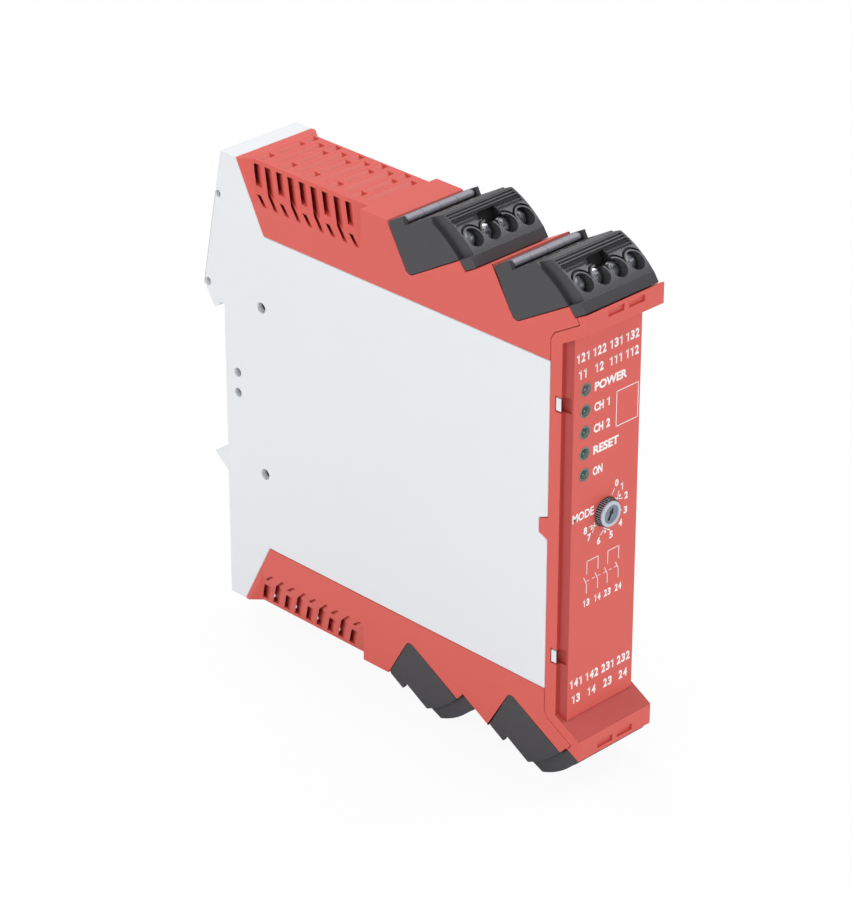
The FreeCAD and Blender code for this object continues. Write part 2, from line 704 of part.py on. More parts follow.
socket_room = slab("socket_room", "-(contact_width / 2 + 0.15)", "contact_width / 2 + 0.15", "contact_start - 0.1",
                   "cage_start", "contact_low", "socket_top + 0.2")
pin_bore = slab("pin_bore", "-pin * 0.65", "pin * 0.65", "-1", "contact_start + 0.5",
                "pin_height - pin * 0.65", "pin_height + pin * 0.65")
wire_bore = round_bar("wire_bore", "top", "wire_depth", "0", "wire_hole", "bar_top - 0.5", "plug_top + 1")
wire_mouth = funnel("wire_mouth", "top", "wire_depth", "0", "wire_hole", "wire_mouth",
                    "plug_top - wire_funnel", "plug_top + 0.01")
pole_tools = joined("pole_tools", [screw_bore, shank_bore, cage_room, socket_room, pin_bore, wire_bore,
                                  wire_mouth])


def at_pole(name, thing, pole):
    """A copy of a thing at one of the four poles, still in the plug's frame."""
    copy = doc.addObject("Part::Compound", name)
    copy.Links = [thing]
    copy.setExpression("Placement.Base.x", bound(f"{pole} * pole_pitch"))
    return copy


chambers = [at_pole(f"chamber_{index}", pole_tools, pole) for index, pole in enumerate(POLES)]
collars = [round_bar(f"collar_{index}", "front", f"{pole} * pole_pitch", "screw_height", "collar",
                     "screw_seat", "nose_toe + 2") for index, pole in enumerate(POLES)]
moats = [round_bar(f"moat_{index}", "front", f"{pole} * pole_pitch", "screw_height",
                   "collar + 2 * collar_groove", "nose_belly - collar_recess", "nose_toe + 1")
         for index, pole in enumerate(POLES)]
moat_half = slab("moat_half", f"-({CHEEK} - 0.3)", f"{CHEEK} - 0.3", "nose_belly - collar_recess - 1",
                 "nose_toe + 2", "screw_height", "screw_height + collar")
band_cut = carved("collar_cut", shared("moat_band", joined("moats", moats), moat_half), [group("collars", collars)])
tool_slot = slab("tool_slot", "-tool_slot_width / 2", "tool_slot_width / 2", "tool_slot_floor", "nose_toe + 1",
                 "tool_slot_low", "tool_slot_high")
tool_side = slab("tool_side", "-(tool_slot_width / 2 + tool_step)", "0", "nose_corner + 1.2", "nose_toe + 1",
                 "tool_slot_high - 1.6", "tool_slot_high - 0.3")
ribs = [slab(f"rib_{index}", f"-({CHEEK} - 0.5)", f"{CHEEK} - 0.5", f"nose_corner + 0.02 + {index} * 0.5",
             "nose_toe", f"plug_top - 1 - {index} * rib_pitch - rib_width / 2",
             f"plug_top - 1 - {index} * rib_pitch + rib_width / 2") for index in range(5)]
ribs += [slab(f"top_rib_{index}", f"-({CHEEK} - 0.5)", f"{CHEEK} - 0.5", f"cheek_head + 0.3 + {index} * 1.2",
              f"cheek_head + 0.3 + rib_width + {index} * 1.2", "plug_top - 0.2 - rib_depth", "plug_top + 1")
         for index in range(3)]
plug_hollow = carved("plug_hollow", solid_plug, [group("chamber_set", chambers)])
plug_ribbed = carved("plug_ribbed", plug_hollow, [group("rib_set", ribs)])
plug_banded = carved("plug_banded", plug_ribbed, [band_cut])
plug = carved("plug_master", plug_banded, [joined("plug_slots", [pivot_hole, tool_slot, tool_side])])

# Contact: socket, sheet and current bar of each pole, bent from one strip
contact_base = slab("contact_base", "-contact_width / 2", "contact_width / 2", "contact_start",
                    "bar_depth + bar_sheet", "contact_low", "contact_low + contact_sheet")
current_bar = slab("current_bar", "-contact_width / 2", "contact_width / 2", "bar_depth", "bar_depth + bar_sheet",
                   "contact_low", "bar_top")
socket = slab("socket_block", "-(contact_width / 2 - 0.05)", "contact_width / 2 - 0.05", "contact_start",
              "socket_end", "contact_low + contact_sheet", "socket_top")
socket_hole = slab("socket_hole", "-(pin / 2 + 0.05)", "pin / 2 + 0.05", "contact_start - 1", "socket_end + 1",
                   "pin_height - pin / 2 - 0.05", "pin_height + pin / 2 + 0.05")
contact = carved("contact_master", joined("contact_strip", [contact_base, current_bar, socket]), [socket_hole])
contacts = group("contact_set", [at_pole(f"contact_{index}", contact, pole) for index, pole in enumerate(POLES)])

# Release lever: a bar between the ears, on two pivots of its own
lever_bar = prism("lever_bar", "side", [
    ("lever_tail", "plug_ear_top - lever_thick"),
    ("lever_pivot", "plug_ear_top - lever_thick", "lever_pivot + (lever_height - plug_ear_top + lever_thick)",
     "lever_height"),
    ("lever_pivot", "2 * lever_height - plug_ear_top + lever_thick"), ("lever_pivot - 0.3", "plug_ear_top"),
    ("lever_tail", "plug_ear_top")], f"-({CHEEK} - 0.15)", f"{CHEEK} - 0.15")
lever_axle = round_bar("lever_axle", "side", "lever_pivot", "lever_height", "lever_pin",
                       f"-({CHEEK} + 0.6)", f"{CHEEK} + 0.6")
lever = joined("lever_master", [lever_bar, lever_axle])

# Clamp screw: slotted head in its hole, shank down to the current bar
screw_top = round_bar("screw_top", "front", "0", "screw_height", "screw_head", "screw_seat + screw_gap",
                      "screw_seat + screw_gap + screw_head_length")
screw_shaft = round_bar("screw_shaft", "front", "0", "screw_height", "screw_shank", "screw_shank_end",
                        "screw_seat + screw_gap + 0.5")
screw_notch = slab("screw_notch", "-screw_head", "screw_head",
                   "screw_seat + screw_gap + screw_head_length - screw_slot_depth", "nose_toe",
                   "screw_height - screw_slot / 2", "screw_height + screw_slot / 2")
screw = carved("screw_master", joined("screw_solid", [screw_top, screw_shaft]), [screw_notch])

# Clamp cage: a folded ring that the screw draws up to the current bar
cage_block = slab("cage_block", "-cage_width / 2", "cage_width / 2", "cage_start", "cage_end", "cage_low",
                  "cage_high")
cage_window = slab("cage_window", "-(cage_width / 2 - cage_wall)", "cage_width / 2 - cage_wall",
                   "cage_start + cage_floor", "cage_end - cage_nut", "cage_low - 1", "cage_high + 1")
nut_bore = round_bar("nut_bore", "front", "0", "screw_height", "screw_shank + 2 * thread_play",
                     "cage_end - cage_nut - 1", "cage_end + 1")
cage = carved("cage_master", cage_block, [cage_window, nut_bore])

# Header and pins behind each plug
header_block = slab("header_block", "-header_width / 2", "header_width / 2", f"-({BACK} + header_length)",
                    f"-{BACK}", "header_low", "header_high")
pin_post = slab("pin_post", "-pin / 2", "pin / 2", f"-({BACK} + header_length + pin_tail)", "pin_tip",
                "pin_height - pin / 2", "pin_height + pin / 2")
pin_posts = group("pin_posts", [at_pole(f"pin_{index}", pin_post, pole) for index, pole in enumerate(POLES)])
header = carved("header_master", header_block, [pin_posts])

for row in ROWS:
    node(f"plug_{row}", in_row(f"plug_{row}", plug, row))
    node(f"contacts_{row}", in_row(f"contacts_{row}", contacts, row))
    node(f"release_lever_{row}", in_row(f"release_lever_{row}", lever, row))
    for index, pole in enumerate(POLES, start=1):
        shift = f"{ROWS[row][1] * pole} * pole_pitch"
        node(f"screw_{row}_{index}", in_row(f"screw_{row}_{index}", screw, row, shift))
        node(f"cage_{row}_{index}", in_row(f"cage_{row}_{index}", cage, row, shift))
node("terminal_headers", group("terminal_headers", [in_row(f"header_{row}", header, row) for row in ROWS]))
node("header_pins", group("header_pins", [in_row(f"pins_{row}", pin_posts, row) for row in ROWS]))

# Front cover: red moulding with a raised panel between two beaks
cover_half = [
    ("cover_side_end", "panel_height"), ("beak_depth", "beak_low"), ("beak_depth", "beak_top"),
    (depth_of(FRONT, "tongue_length + fit", "-nose_drop - pocket_play"),
     height_of("tongue_length + fit", "-nose_drop - pocket_play")),
    (depth_of(FRONT, "tongue_length + fit", "-tongue_drop - fit"),
     height_of("tongue_length + fit", "-tongue_drop - fit")),
    (depth_of(FRONT, "tongue_start", "-tongue_drop - fit"), height_of("tongue_start", "-tongue_drop - fit")),
    ("part_line + fit", "cover_corner"),
]
cover_frame = prism("cover_frame", "side", cover_half + flipped(cover_half), f"-({EDGE})", EDGE)
panel = prism("cover_panel", "top", [
    ("cover_step_depth - 1", f"-({EDGE} - cover_shoulder / 2)"), ("cover_side_end", f"-({EDGE} - cover_shoulder / 2)"),
    ("panel_depth", "-panel_half_width"), ("panel_depth", "panel_half_width"),
    ("cover_side_end", f"{EDGE} - cover_shoulder / 2"), ("cover_step_depth - 1", f"{EDGE} - cover_shoulder / 2")],
    "-(panel_height + 1.2)", "panel_height + 1.2")
tab = prism("cover_tab", "side", [
    ("part_line + 0.5", "tab_base"), ("part_line - tab_reach", "tab_tip"), ("part_line - tab_reach", "-tab_tip"),
    ("part_line + 0.5", "-tab_base")], f"-({EDGE})", f"-{INNER}")
cover_room = slab("cover_room", f"-({EDGE} - cover_wall)", f"{EDGE} - cover_wall", "part_line - 1",
                  "cover_step_depth", "-cover_cavity", "cover_cavity")
panel_room = slab("panel_room", "-(panel_half_width - panel_wall)", "panel_half_width - panel_wall",
                  "part_line - 1", "panel_depth - panel_wall", "-cover_cavity", "cover_cavity")
latch_way = slab("latch_way", f"-({INNER} + latch_arm + 0.15)", f"-({EDGE} - cover_wall)", "part_line - 1",
                 "latch_start + 0.5", "latch_low", "latch_high")
latch_window = slab("latch_window", f"-({EDGE} + 1)", f"-({EDGE} - cover_wall)", "latch_start - fit",
                    "latch_window_end - 0.2", "latch_low", "latch_high")
lamp_holes = [round_bar(f"lamp_hole_{index}", "front", "-lamp_side", f"lamp_top - {index} * lamp_pitch",
                        "lamp + 0.2", "part_line", "panel_depth + 1") for index in range(5)]
dial_opening = round_bar("dial_opening", "front", "dial_side", "dial_height", "dial_hole", "part_line",
                         "panel_depth + 1")
badge = slab("badge", "-badge_outer", "-badge_inner", "beak_depth - badge_recess", "beak_depth + 1", "badge_low",
             "badge_high")
cover_cuts = level(four_ways(thing.Name, thing) for thing in (latch_way, latch_window, badge))
cover_whole = joined("cover_whole", [cover_frame, panel, tab, mirrored("cover_tab_right", tab, Vector(1, 0, 0))])
node("front_cover", carved("front_cover", cover_whole,
                           [cover_room, panel_room, dial_opening] + lamp_holes + cover_cuts))


def moulded_block(name, left, right, low, high, near, far):
    """A body with one pad, drawn on its own front plane."""
    body = doc.addObject("PartDesign::Body", name)
    plane = [item for item in body.Origin.OriginFeatures if item.Role == "XZ_Plane"][0]
    sketch = body.newObject("Sketcher::SketchObject", name + "_sketch")
    sketch.AttachmentSupport = [(plane, "")]
    sketch.MapMode = "FlatFace"
    spots = [(left, low), (right, low), (right, high), (left, high)]
    points = [Vector(number(across), number(up), 0) for across, up in spots]
    for index in range(4):
        sketch.addGeometry(Part.LineSegment(points[index], points[(index + 1) % 4]), False)
    for index in range(4):
        sketch.addConstraint(Sketcher.Constraint("Coincident", index, 2, (index + 1) % 4, 1))
    for index, (across, up) in enumerate(spots):
        for axis, text in (("DistanceX", across), ("DistanceY", up)):
            rule = sketch.addConstraint(Sketcher.Constraint(axis, -1, 1, index, 1, number(text)))
            sketch.setExpression(f"Constraints[{rule}]", bound(text))
    sketch.setExpression("AttachmentOffset.Base.z", bound(near))
    pad = body.newObject("PartDesign::Pad", name + "_pad")
    pad.Profile = sketch
    pad.setExpression("Length", bound(f"({far}) - ({near})"))
    body.Tip = pad
    return body


# Boards and the parts they carry
FACE = "(board_side - board)"
node("main_board", moulded_block("main_board", "-board_side", f"-{FACE}", "-board_height", "board_height",
                                 "board_start", "board_end"))
node("front_board", moulded_block("front_board", "-front_board_half", "front_board_half", "-front_board_height",
                                  "front_board_height", "board_end", "board_end + board"))
relay = moulded_block("relay_can", f"-{FACE}", f"relay_width - {FACE}", "relay_low", "relay_low + relay_height",
                      "relay_start", "relay_start + relay_length")
node("output_relays", group("output_relays", [relay, mirrored("relay_can_low", relay, Vector(0, 0, 1))]))
core_stack = moulded_block("core_stack", f"2 - {FACE}", f"core_width - 2 - {FACE}", "core_low",
                           "core_low + core_height", "core_start", "core_start + core_length")
winding = moulded_block("winding", f"-{FACE}", f"core_width - {FACE}", "core_low + 3",
                        "core_low + core_height - 3", "core_start + 3", "core_start + core_length - 3")
node("supply_transformer", joined("supply_transformer", [core_stack, winding]))
cans = [round_bar(f"can_{index}", "side", f"can_start + {index} * can_pitch", "can_low + can / 2", "can",
                  f"-(can_length - {FACE})", FACE) for index in range(2)]
cans = [mirrored(f"can_turned_{index}", can, Vector(1, 0, 0)) for index, can in enumerate(cans)]
node("supply_capacitors", group("supply_capacitors", cans))
chips = [moulded_block(f"chip_{index}", f"-{FACE}", f"chip_height - {FACE}", "chip_low", "chip_low + chip",
                       f"chip_start + {index} * (chip + 4)", f"chip_start + {index} * (chip + 4) + chip")
         for index in range(2)]
node("controller_chips", group("controller_chips", chips))
FRONT_FACE = "(board_end + board)"
switch_block = moulded_block("switch_block", "dial_side - switch / 2", "dial_side + switch / 2",
                             "dial_height - switch / 2", "dial_height + switch / 2", FRONT_FACE,
                             f"{FRONT_FACE} + switch_length")
switch_bore = round_bar("switch_bore", "front", "dial_side", "dial_height", "dial_hub + 2 * pivot_play",
                        f"{FRONT_FACE} + 0.8", f"{FRONT_FACE} + switch_length + 1")
node("selector_switch", carved("selector_switch", switch_block, [switch_bore]))
lamps = [round_bar(f"lamp_{index}", "front", "-lamp_side", f"lamp_top - {index} * lamp_pitch", "lamp", FRONT_FACE,
                   "lamp_tip") for index in range(5)]
node("status_leds", group("status_leds", lamps))

# Selector dial: slotted knob with an arrow and a hub in the switch
knob = round_bar("knob", "front", "dial_side", "dial_height", "dial", f"{FRONT_FACE} + switch_length + 0.2",
                 "dial_face")
hub = round_bar("hub", "front", "dial_side", "dial_height", "dial_hub", f"{FRONT_FACE} + 1",
                f"{FRONT_FACE} + switch_length + 0.5")
arrow = prism("dial_arrow", "front", [
    ("-dial_slot / 2", "-dial * 0.36"), ("dial_slot / 2", "-dial * 0.36"), ("dial_slot / 2", "dial * 0.1"),
    ("dial_slot * 1.3", "dial * 0.1"), ("0", "dial * 0.4"), ("-dial_slot * 1.3", "dial * 0.1"),
    ("-dial_slot / 2", "dial * 0.1")], "dial_face - dial_slot_depth", "dial_face + 1")
arrow_turned = doc.addObject("Part::Compound", "arrow_turned")
arrow_turned.Links = [arrow]
arrow_turned.Placement = FreeCAD.Placement(Vector(), FreeCAD.Rotation(Vector(0, 1, 0), 35))
arrow_turned.setExpression("Placement.Base.x", bound("dial_side"))
arrow_turned.setExpression("Placement.Base.z", bound("dial_height"))
node("selector_dial", carved("selector_dial", joined("knob_and_hub", [knob, hub]), [arrow_turned]))

doc.recompute()
faults = [thing.Label for thing in doc.Objects if "Invalid" in thing.State or "Error" in thing.State]
faults += [thing.Label for thing in NODES if thing.Shape.isNull() or not thing.Shape.isValid()]
if faults:
    raise RuntimeError("These did not build: " + ", ".join(faults))
os.makedirs("parts", exist_ok=True)
for thing in NODES:
    thing.Shape.exportStep(f"parts/{thing.Label}.step")
    print(thing.Label, round(thing.Shape.Volume, 2), len(thing.Shape.Solids))
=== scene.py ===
import json
import math

import bmesh
import bpy
from mathutils import Matrix, Vector

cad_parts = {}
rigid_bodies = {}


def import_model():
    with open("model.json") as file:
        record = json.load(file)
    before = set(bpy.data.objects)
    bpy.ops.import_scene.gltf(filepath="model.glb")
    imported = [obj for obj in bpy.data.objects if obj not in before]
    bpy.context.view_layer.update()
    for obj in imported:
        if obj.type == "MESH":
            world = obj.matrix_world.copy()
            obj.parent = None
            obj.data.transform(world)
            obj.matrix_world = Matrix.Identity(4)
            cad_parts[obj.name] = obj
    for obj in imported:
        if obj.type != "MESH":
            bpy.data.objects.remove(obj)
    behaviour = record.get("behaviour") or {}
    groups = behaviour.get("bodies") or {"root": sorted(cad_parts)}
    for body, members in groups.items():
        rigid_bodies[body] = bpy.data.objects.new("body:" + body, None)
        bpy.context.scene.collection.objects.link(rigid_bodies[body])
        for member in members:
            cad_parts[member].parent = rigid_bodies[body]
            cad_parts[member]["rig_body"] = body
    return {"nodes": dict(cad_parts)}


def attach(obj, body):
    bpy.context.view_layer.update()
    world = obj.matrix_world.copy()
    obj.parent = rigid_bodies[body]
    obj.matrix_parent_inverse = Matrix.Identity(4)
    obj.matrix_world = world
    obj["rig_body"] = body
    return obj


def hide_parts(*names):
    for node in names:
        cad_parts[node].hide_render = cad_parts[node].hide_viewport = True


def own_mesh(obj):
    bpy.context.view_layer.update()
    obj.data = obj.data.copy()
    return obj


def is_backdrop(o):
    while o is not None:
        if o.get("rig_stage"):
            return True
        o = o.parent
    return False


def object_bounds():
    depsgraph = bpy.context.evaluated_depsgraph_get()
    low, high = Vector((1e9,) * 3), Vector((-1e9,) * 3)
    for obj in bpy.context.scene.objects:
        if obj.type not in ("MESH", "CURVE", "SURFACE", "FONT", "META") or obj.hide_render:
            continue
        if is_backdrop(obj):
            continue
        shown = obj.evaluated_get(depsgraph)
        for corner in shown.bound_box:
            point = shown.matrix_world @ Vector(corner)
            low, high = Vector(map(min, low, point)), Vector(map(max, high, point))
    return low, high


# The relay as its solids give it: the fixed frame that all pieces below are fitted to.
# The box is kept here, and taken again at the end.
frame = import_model()
nodes = frame["nodes"]
cad_low, cad_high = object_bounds()
MM = 0.001
SAME_SPOT = 1e-6

# Camera at the angle of the photograph: a long lens a little above and to the left.
# It leans by a fifth of a degree, and its shift only places the relay in the picture.
azimuth = math.radians(-45.1809)
elevation = math.radians(27.6465)
lean = math.radians(0.194)
back = Vector((math.sin(azimuth) * math.cos(elevation), -math.cos(azimuth) * math.cos(elevation),
               math.sin(elevation)))
right = Vector((math.cos(azimuth), math.sin(azimuth), 0))
up = back.cross(right)
place = (right * 39.870 + up * -18.881 + back * 841.794) * MM
level_right = right * math.cos(lean) + up * math.sin(lean)
level_up = up * math.cos(lean) - right * math.sin(lean)
turn = Matrix((level_right, level_up, back)).transposed()
bpy.ops.object.camera_add()
camera = bpy.context.object
camera.name = "camera"
camera.matrix_world = Matrix.LocRotScale(place, turn.to_quaternion(), None)
camera.data.sensor_width = 36
camera.data.lens = 150.883
camera.data.shift_x = -0.01716
camera.data.shift_y = -0.00424
camera.data.clip_end = 10
bpy.context.scene.camera = camera

# Rear housing: one light grey moulding of two side plates and a back, with the rail hooks.
# Like every plastic part here it has the fine spark-eroded grain of its mould, faintly clouded
# where the melt flowed, and edges that are just not sharp.
grain = bpy.data.node_groups.new("moulded_grain", "ShaderNodeTree")
for name, kind, start in (("Color", "NodeSocketColor", (0.8, 0.8, 0.8, 1)), ("Clouding", "NodeSocketFloat", 0.04),
                          ("Roughness", "NodeSocketFloat", 0.5), ("Grain Size", "NodeSocketFloat", 3200)):
    grain.interface.new_socket(name, in_out="INPUT", socket_type=kind).default_value = start
for name, kind in (("Color", "NodeSocketColor"), ("Roughness", "NodeSocketFloat"), ("Height", "NodeSocketFloat")):
    grain.interface.new_socket(name, in_out="OUTPUT", socket_type=kind)
into = grain.nodes.new("NodeGroupInput")
out = grain.nodes.new("NodeGroupOutput")
where = grain.nodes.new("ShaderNodeTexCoord")
cloud = grain.nodes.new("ShaderNodeTexNoise")
cloud.inputs["Scale"].default_value = 45
cloud.inputs["Detail"].default_value = 3
fine = grain.nodes.new("ShaderNodeTexNoise")
fine.inputs["Detail"].default_value = 2
shade = grain.nodes.new("ShaderNodeMath")
shade.operation = "SUBTRACT"
shade.inputs[1].default_value = 0.5
amount = grain.nodes.new("ShaderNodeMath")
amount.operation = "MULTIPLY_ADD"
amount.inputs[2].default_value = 1
tint = grain.nodes.new("ShaderNodeHueSaturation")
gloss = grain.nodes.new("ShaderNodeMath")
gloss.operation = "MULTIPLY_ADD"
gloss.inputs[1].default_value = 0.12
grain.links.new(where.outputs["Object"], cloud.inputs["Vector"])
grain.links.new(where.outputs["Object"], fine.inputs["Vector"])
grain.links.new(into.outputs["Grain Size"], fine.inputs["Scale"])
grain.links.new(cloud.outputs["Fac"], shade.inputs[0])
grain.links.new(shade.outputs[0], amount.inputs[0])
grain.links.new(into.outputs["Clouding"], amount.inputs[1])
grain.links.new(amount.outputs[0], tint.inputs["Value"])
grain.links.new(into.outputs["Color"], tint.inputs["Color"])
grain.links.new(tint.outputs["Color"], out.inputs["Color"])
grain.links.new(fine.outputs["Fac"], gloss.inputs[0])
grain.links.new(into.outputs["Roughness"], gloss.inputs[2])
grain.links.new(gloss.outputs[0], out.inputs["Roughness"])
grain.links.new(fine.outputs["Fac"], out.inputs["Height"])


def plastic(name, color, roughness=0.42, clouding=0.05, depth=0.05, size=3200):
    """A moulded plastic with its own colour and gloss, from the grain above."""
    made = bpy.data.materials.new(name)
    made.use_nodes = True
    tree = made.node_tree
    shader = tree.nodes["Principled BSDF"]
    mix = tree.nodes.new("ShaderNodeGroup")
    mix.node_tree = grain
    mix.inputs["Color"].default_value = (*color, 1)
    mix.inputs["Clouding"].default_value = clouding
    mix.inputs["Roughness"].default_value = roughness
    mix.inputs["Grain Size"].default_value = size
    bump = tree.nodes.new("ShaderNodeBump")
    bump.inputs["Strength"].default_value = depth
    bump.inputs["Distance"].default_value = 0.0002
    tree.links.new(mix.outputs["Color"], shader.inputs["Base Color"])
    tree.links.new(mix.outputs["Roughness"], shader.inputs["Roughness"])
    tree.links.new(mix.outputs["Height"], bump.inputs["Height"])
    tree.links.new(bump.outputs["Normal"], shader.inputs["Normal"])
    return made


def take(piece):
    """Leaves one piece alone selected, for the operators to work on."""
    bpy.ops.object.select_all(action="DESELECT")
    piece.select_set(True)
    bpy.context.view_layer.objects.active = piece


def smooth(piece, angle=35):
    """Shades a finished piece round over its small steps and flat over its faces."""
    take(piece)
    bpy.ops.object.shade_smooth_by_angle(angle=math.radians(angle))
    bpy.ops.object.modifier_add(type="WEIGHTED_NORMAL")
    even = piece.modifiers[-1]
    even.keep_sharp = True
    bpy.ops.object.modifier_apply(modifier=even.name)


def moulding(name, material, width, steps=2, shortest=1.2, sharp=(28, 180), left=(), move=None):
    """A part's own shape with its outer edges rounded, which stands in for it.

    Edges shorter than shortest, outside the angles in sharp, beside a face too narrow for the rounding
    or within the boxes in left stay as they are. Move, if given, shifts the corners first."""
    piece = bpy.data.objects.new(name + "_moulding", nodes[name].data.copy())
    bpy.context.collection.objects.link(piece)
    take(piece)
    bpy.ops.mesh.customdata_custom_splitnormals_clear()
    bpy.ops.object.mode_set(mode="EDIT")
    bpy.ops.mesh.select_all(action="SELECT")
    bpy.ops.mesh.remove_doubles(threshold=SAME_SPOT)
    bpy.ops.mesh.dissolve_limited(angle_limit=math.radians(0.6))
    bpy.ops.mesh.select_all(action="DESELECT")
    bpy.ops.mesh.select_mode(type="EDGE")
    shape = bmesh.from_edit_mesh(piece.data)
    if move:
        for vertex in shape.verts:
            move(vertex.co)
        bmesh.ops.remove_doubles(shape, verts=shape.verts, dist=SAME_SPOT)
        bmesh.ops.dissolve_degenerate(shape, dist=SAME_SPOT, edges=shape.edges)
        shape.normal_update()
    for edge in shape.edges:
        if len(edge.link_faces) != 2 or not edge.is_convex or edge.calc_length() < shortest * MM:
            continue
        if not math.radians(sharp[0]) < edge.calc_face_angle() < math.radians(sharp[1]):
            continue
        narrow = 3 * width * shortest * MM * MM
        if min(face.calc_area() for face in edge.link_faces) < narrow:
            continue
        middle = (edge.verts[0].co + edge.verts[1].co) / 2 / MM
        if any(all(low[i] < middle[i] < high[i] for i in range(3)) for low, high in left):
            continue
        edge.select = True
    bmesh.update_edit_mesh(piece.data)
    bpy.ops.mesh.bevel(offset=width * MM, segments=steps, profile=0.5, clamp_overlap=False)
    bpy.ops.object.mode_set(mode="OBJECT")
    smooth(piece)
    piece.data.materials.clear()
    piece.data.materials.append(material)
    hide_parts(name)
    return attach(piece, nodes[name]["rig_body"])


LATCH_END, HOOK_END, HOOK_ROOT = 101.5, 101.2, 99.9
HOOK_ACROSS = 10.5


def hooked(corner):
    """Draws the inner corners of a latch back, so that its nose is a thin hook."""
    if corner.y < -LATCH_END * MM:
        corner.y = -(HOOK_END if abs(corner.x) > HOOK_ACROSS * MM else HOOK_ROOT) * MM


grey = plastic("light_grey_plastic", (0.765, 0.785, 0.815), roughness=0.38, clouding=0.03)
latches = ((-12, -102, -32), (12, -98.5, 32))
rear = moulding("rear_housing", grey, 0.3, steps=3, left=[latches], move=hooked)

# Rail foot and its spring: folded steel, zinc plated, that snaps under the rail's lower edge.
# The plating is bright with fine lines along the strip, and dulls in soft patches.
plating = bpy.data.node_groups.new("plated_metal", "ShaderNodeTree")
for name, kind, start in (("Color", "NodeSocketColor", (0.7, 0.7, 0.72, 1)), ("Roughness", "NodeSocketFloat", 0.3),
                          ("Lines", "NodeSocketVector", (400, 400, 6000))):
    plating.interface.new_socket(name, in_out="INPUT", socket_type=kind).default_value = start
for name, kind in (("Color", "NodeSocketColor"), ("Roughness", "NodeSocketFloat"), ("Height", "NodeSocketFloat")):
    plating.interface.new_socket(name, in_out="OUTPUT", socket_type=kind)
into = plating.nodes.new("NodeGroupInput")
out = plating.nodes.new("NodeGroupOutput")
where = plating.nodes.new("ShaderNodeTexCoord")
stretch = plating.nodes.new("ShaderNodeVectorMath")
stretch.operation = "MULTIPLY"
lines = plating.nodes.new("ShaderNodeTexNoise")
lines.inputs["Scale"].default_value = 1
lines.inputs["Detail"].default_value = 4
patches = plating.nodes.new("ShaderNodeTexNoise")
patches.inputs["Scale"].default_value = 260
patches.inputs["Detail"].default_value = 3
tone = plating.nodes.new("ShaderNodeMapRange")
tone.inputs["To Min"].default_value = 0.78
tone.inputs["To Max"].default_value = 1.12
tint = plating.nodes.new("ShaderNodeHueSaturation")
dull = plating.nodes.new("ShaderNodeMath")
dull.operation = "MULTIPLY_ADD"
dull.inputs[1].default_value = 0.22
plating.links.new(where.outputs["Object"], stretch.inputs[0])
plating.links.new(into.outputs["Lines"], stretch.inputs[1])
plating.links.new(stretch.outputs[0], lines.inputs["Vector"])
plating.links.new(where.outputs["Object"], patches.inputs["Vector"])
plating.links.new(patches.outputs["Fac"], tone.inputs["Value"])
plating.links.new(tone.outputs["Result"], tint.inputs["Value"])
plating.links.new(into.outputs["Color"], tint.inputs["Color"])
plating.links.new(tint.outputs["Color"], out.inputs["Color"])
plating.links.new(lines.outputs["Fac"], dull.inputs[0])
plating.links.new(into.outputs["Roughness"], dull.inputs[2])
plating.links.new(dull.outputs[0], out.inputs["Roughness"])
plating.links.new(lines.outputs["Fac"], out.inputs["Height"])


def metal(name, color, roughness, stretched=(400, 400, 6000), depth=0.08):
    """A metal with its own colour, gloss and direction of fine lines."""
    made = bpy.data.materials.new(name)
    made.use_nodes = True
    tree = made.node_tree
    shader = tree.nodes["Principled BSDF"]
    shader.inputs["Metallic"].default_value = 1
    mix = tree.nodes.new("ShaderNodeGroup")
    mix.node_tree = plating
    mix.inputs["Color"].default_value = (*color, 1)
    mix.inputs["Roughness"].default_value = roughness
    mix.inputs["Lines"].default_value = stretched
    bump = tree.nodes.new("ShaderNodeBump")
    bump.inputs["Strength"].default_value = depth
    bump.inputs["Distance"].default_value = 0.0001
    tree.links.new(mix.outputs["Color"], shader.inputs["Base Color"])
    tree.links.new(mix.outputs["Roughness"], shader.inputs["Roughness"])
    tree.links.new(mix.outputs["Height"], bump.inputs["Height"])
    tree.links.new(bump.outputs["Normal"], shader.inputs["Normal"])
    return made


def finish(material, *names):
    """Gives parts that keep their own shape their real finish."""
    for name in names:
        for held in nodes[name].material_slots:
            held.material = material


zinc = metal("zinc_plating", (0.66, 0.67, 0.70), 0.24)
moulding("rail_foot", zinc, 0.12, shortest=0.8)
spring_wire = metal("drawn_spring_wire", (0.48, 0.48, 0.50), 0.18, stretched=(3000, 3000, 3000))
wire = moulding("foot_spring", spring_wire, 0.03, sharp=(80, 100), shortest=3)
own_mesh(wire)

# Front housing: the warm red moulding whose sleeve slides between the plates.
# Its head and foot carry the vents and the pockets of the plugs, and no rounding stands past its sides.
red = plastic("red_plastic", (0.67, 0.100, 0.080), roughness=0.40, clouding=0.06, depth=0.07, size=2600)
front = moulding("front_housing", red, 0.18, shortest=1.0)
for vertex in front.data.vertices:
    vertex.co.x = max(cad_low[0], min(cad_high[0], vertex.co.x))
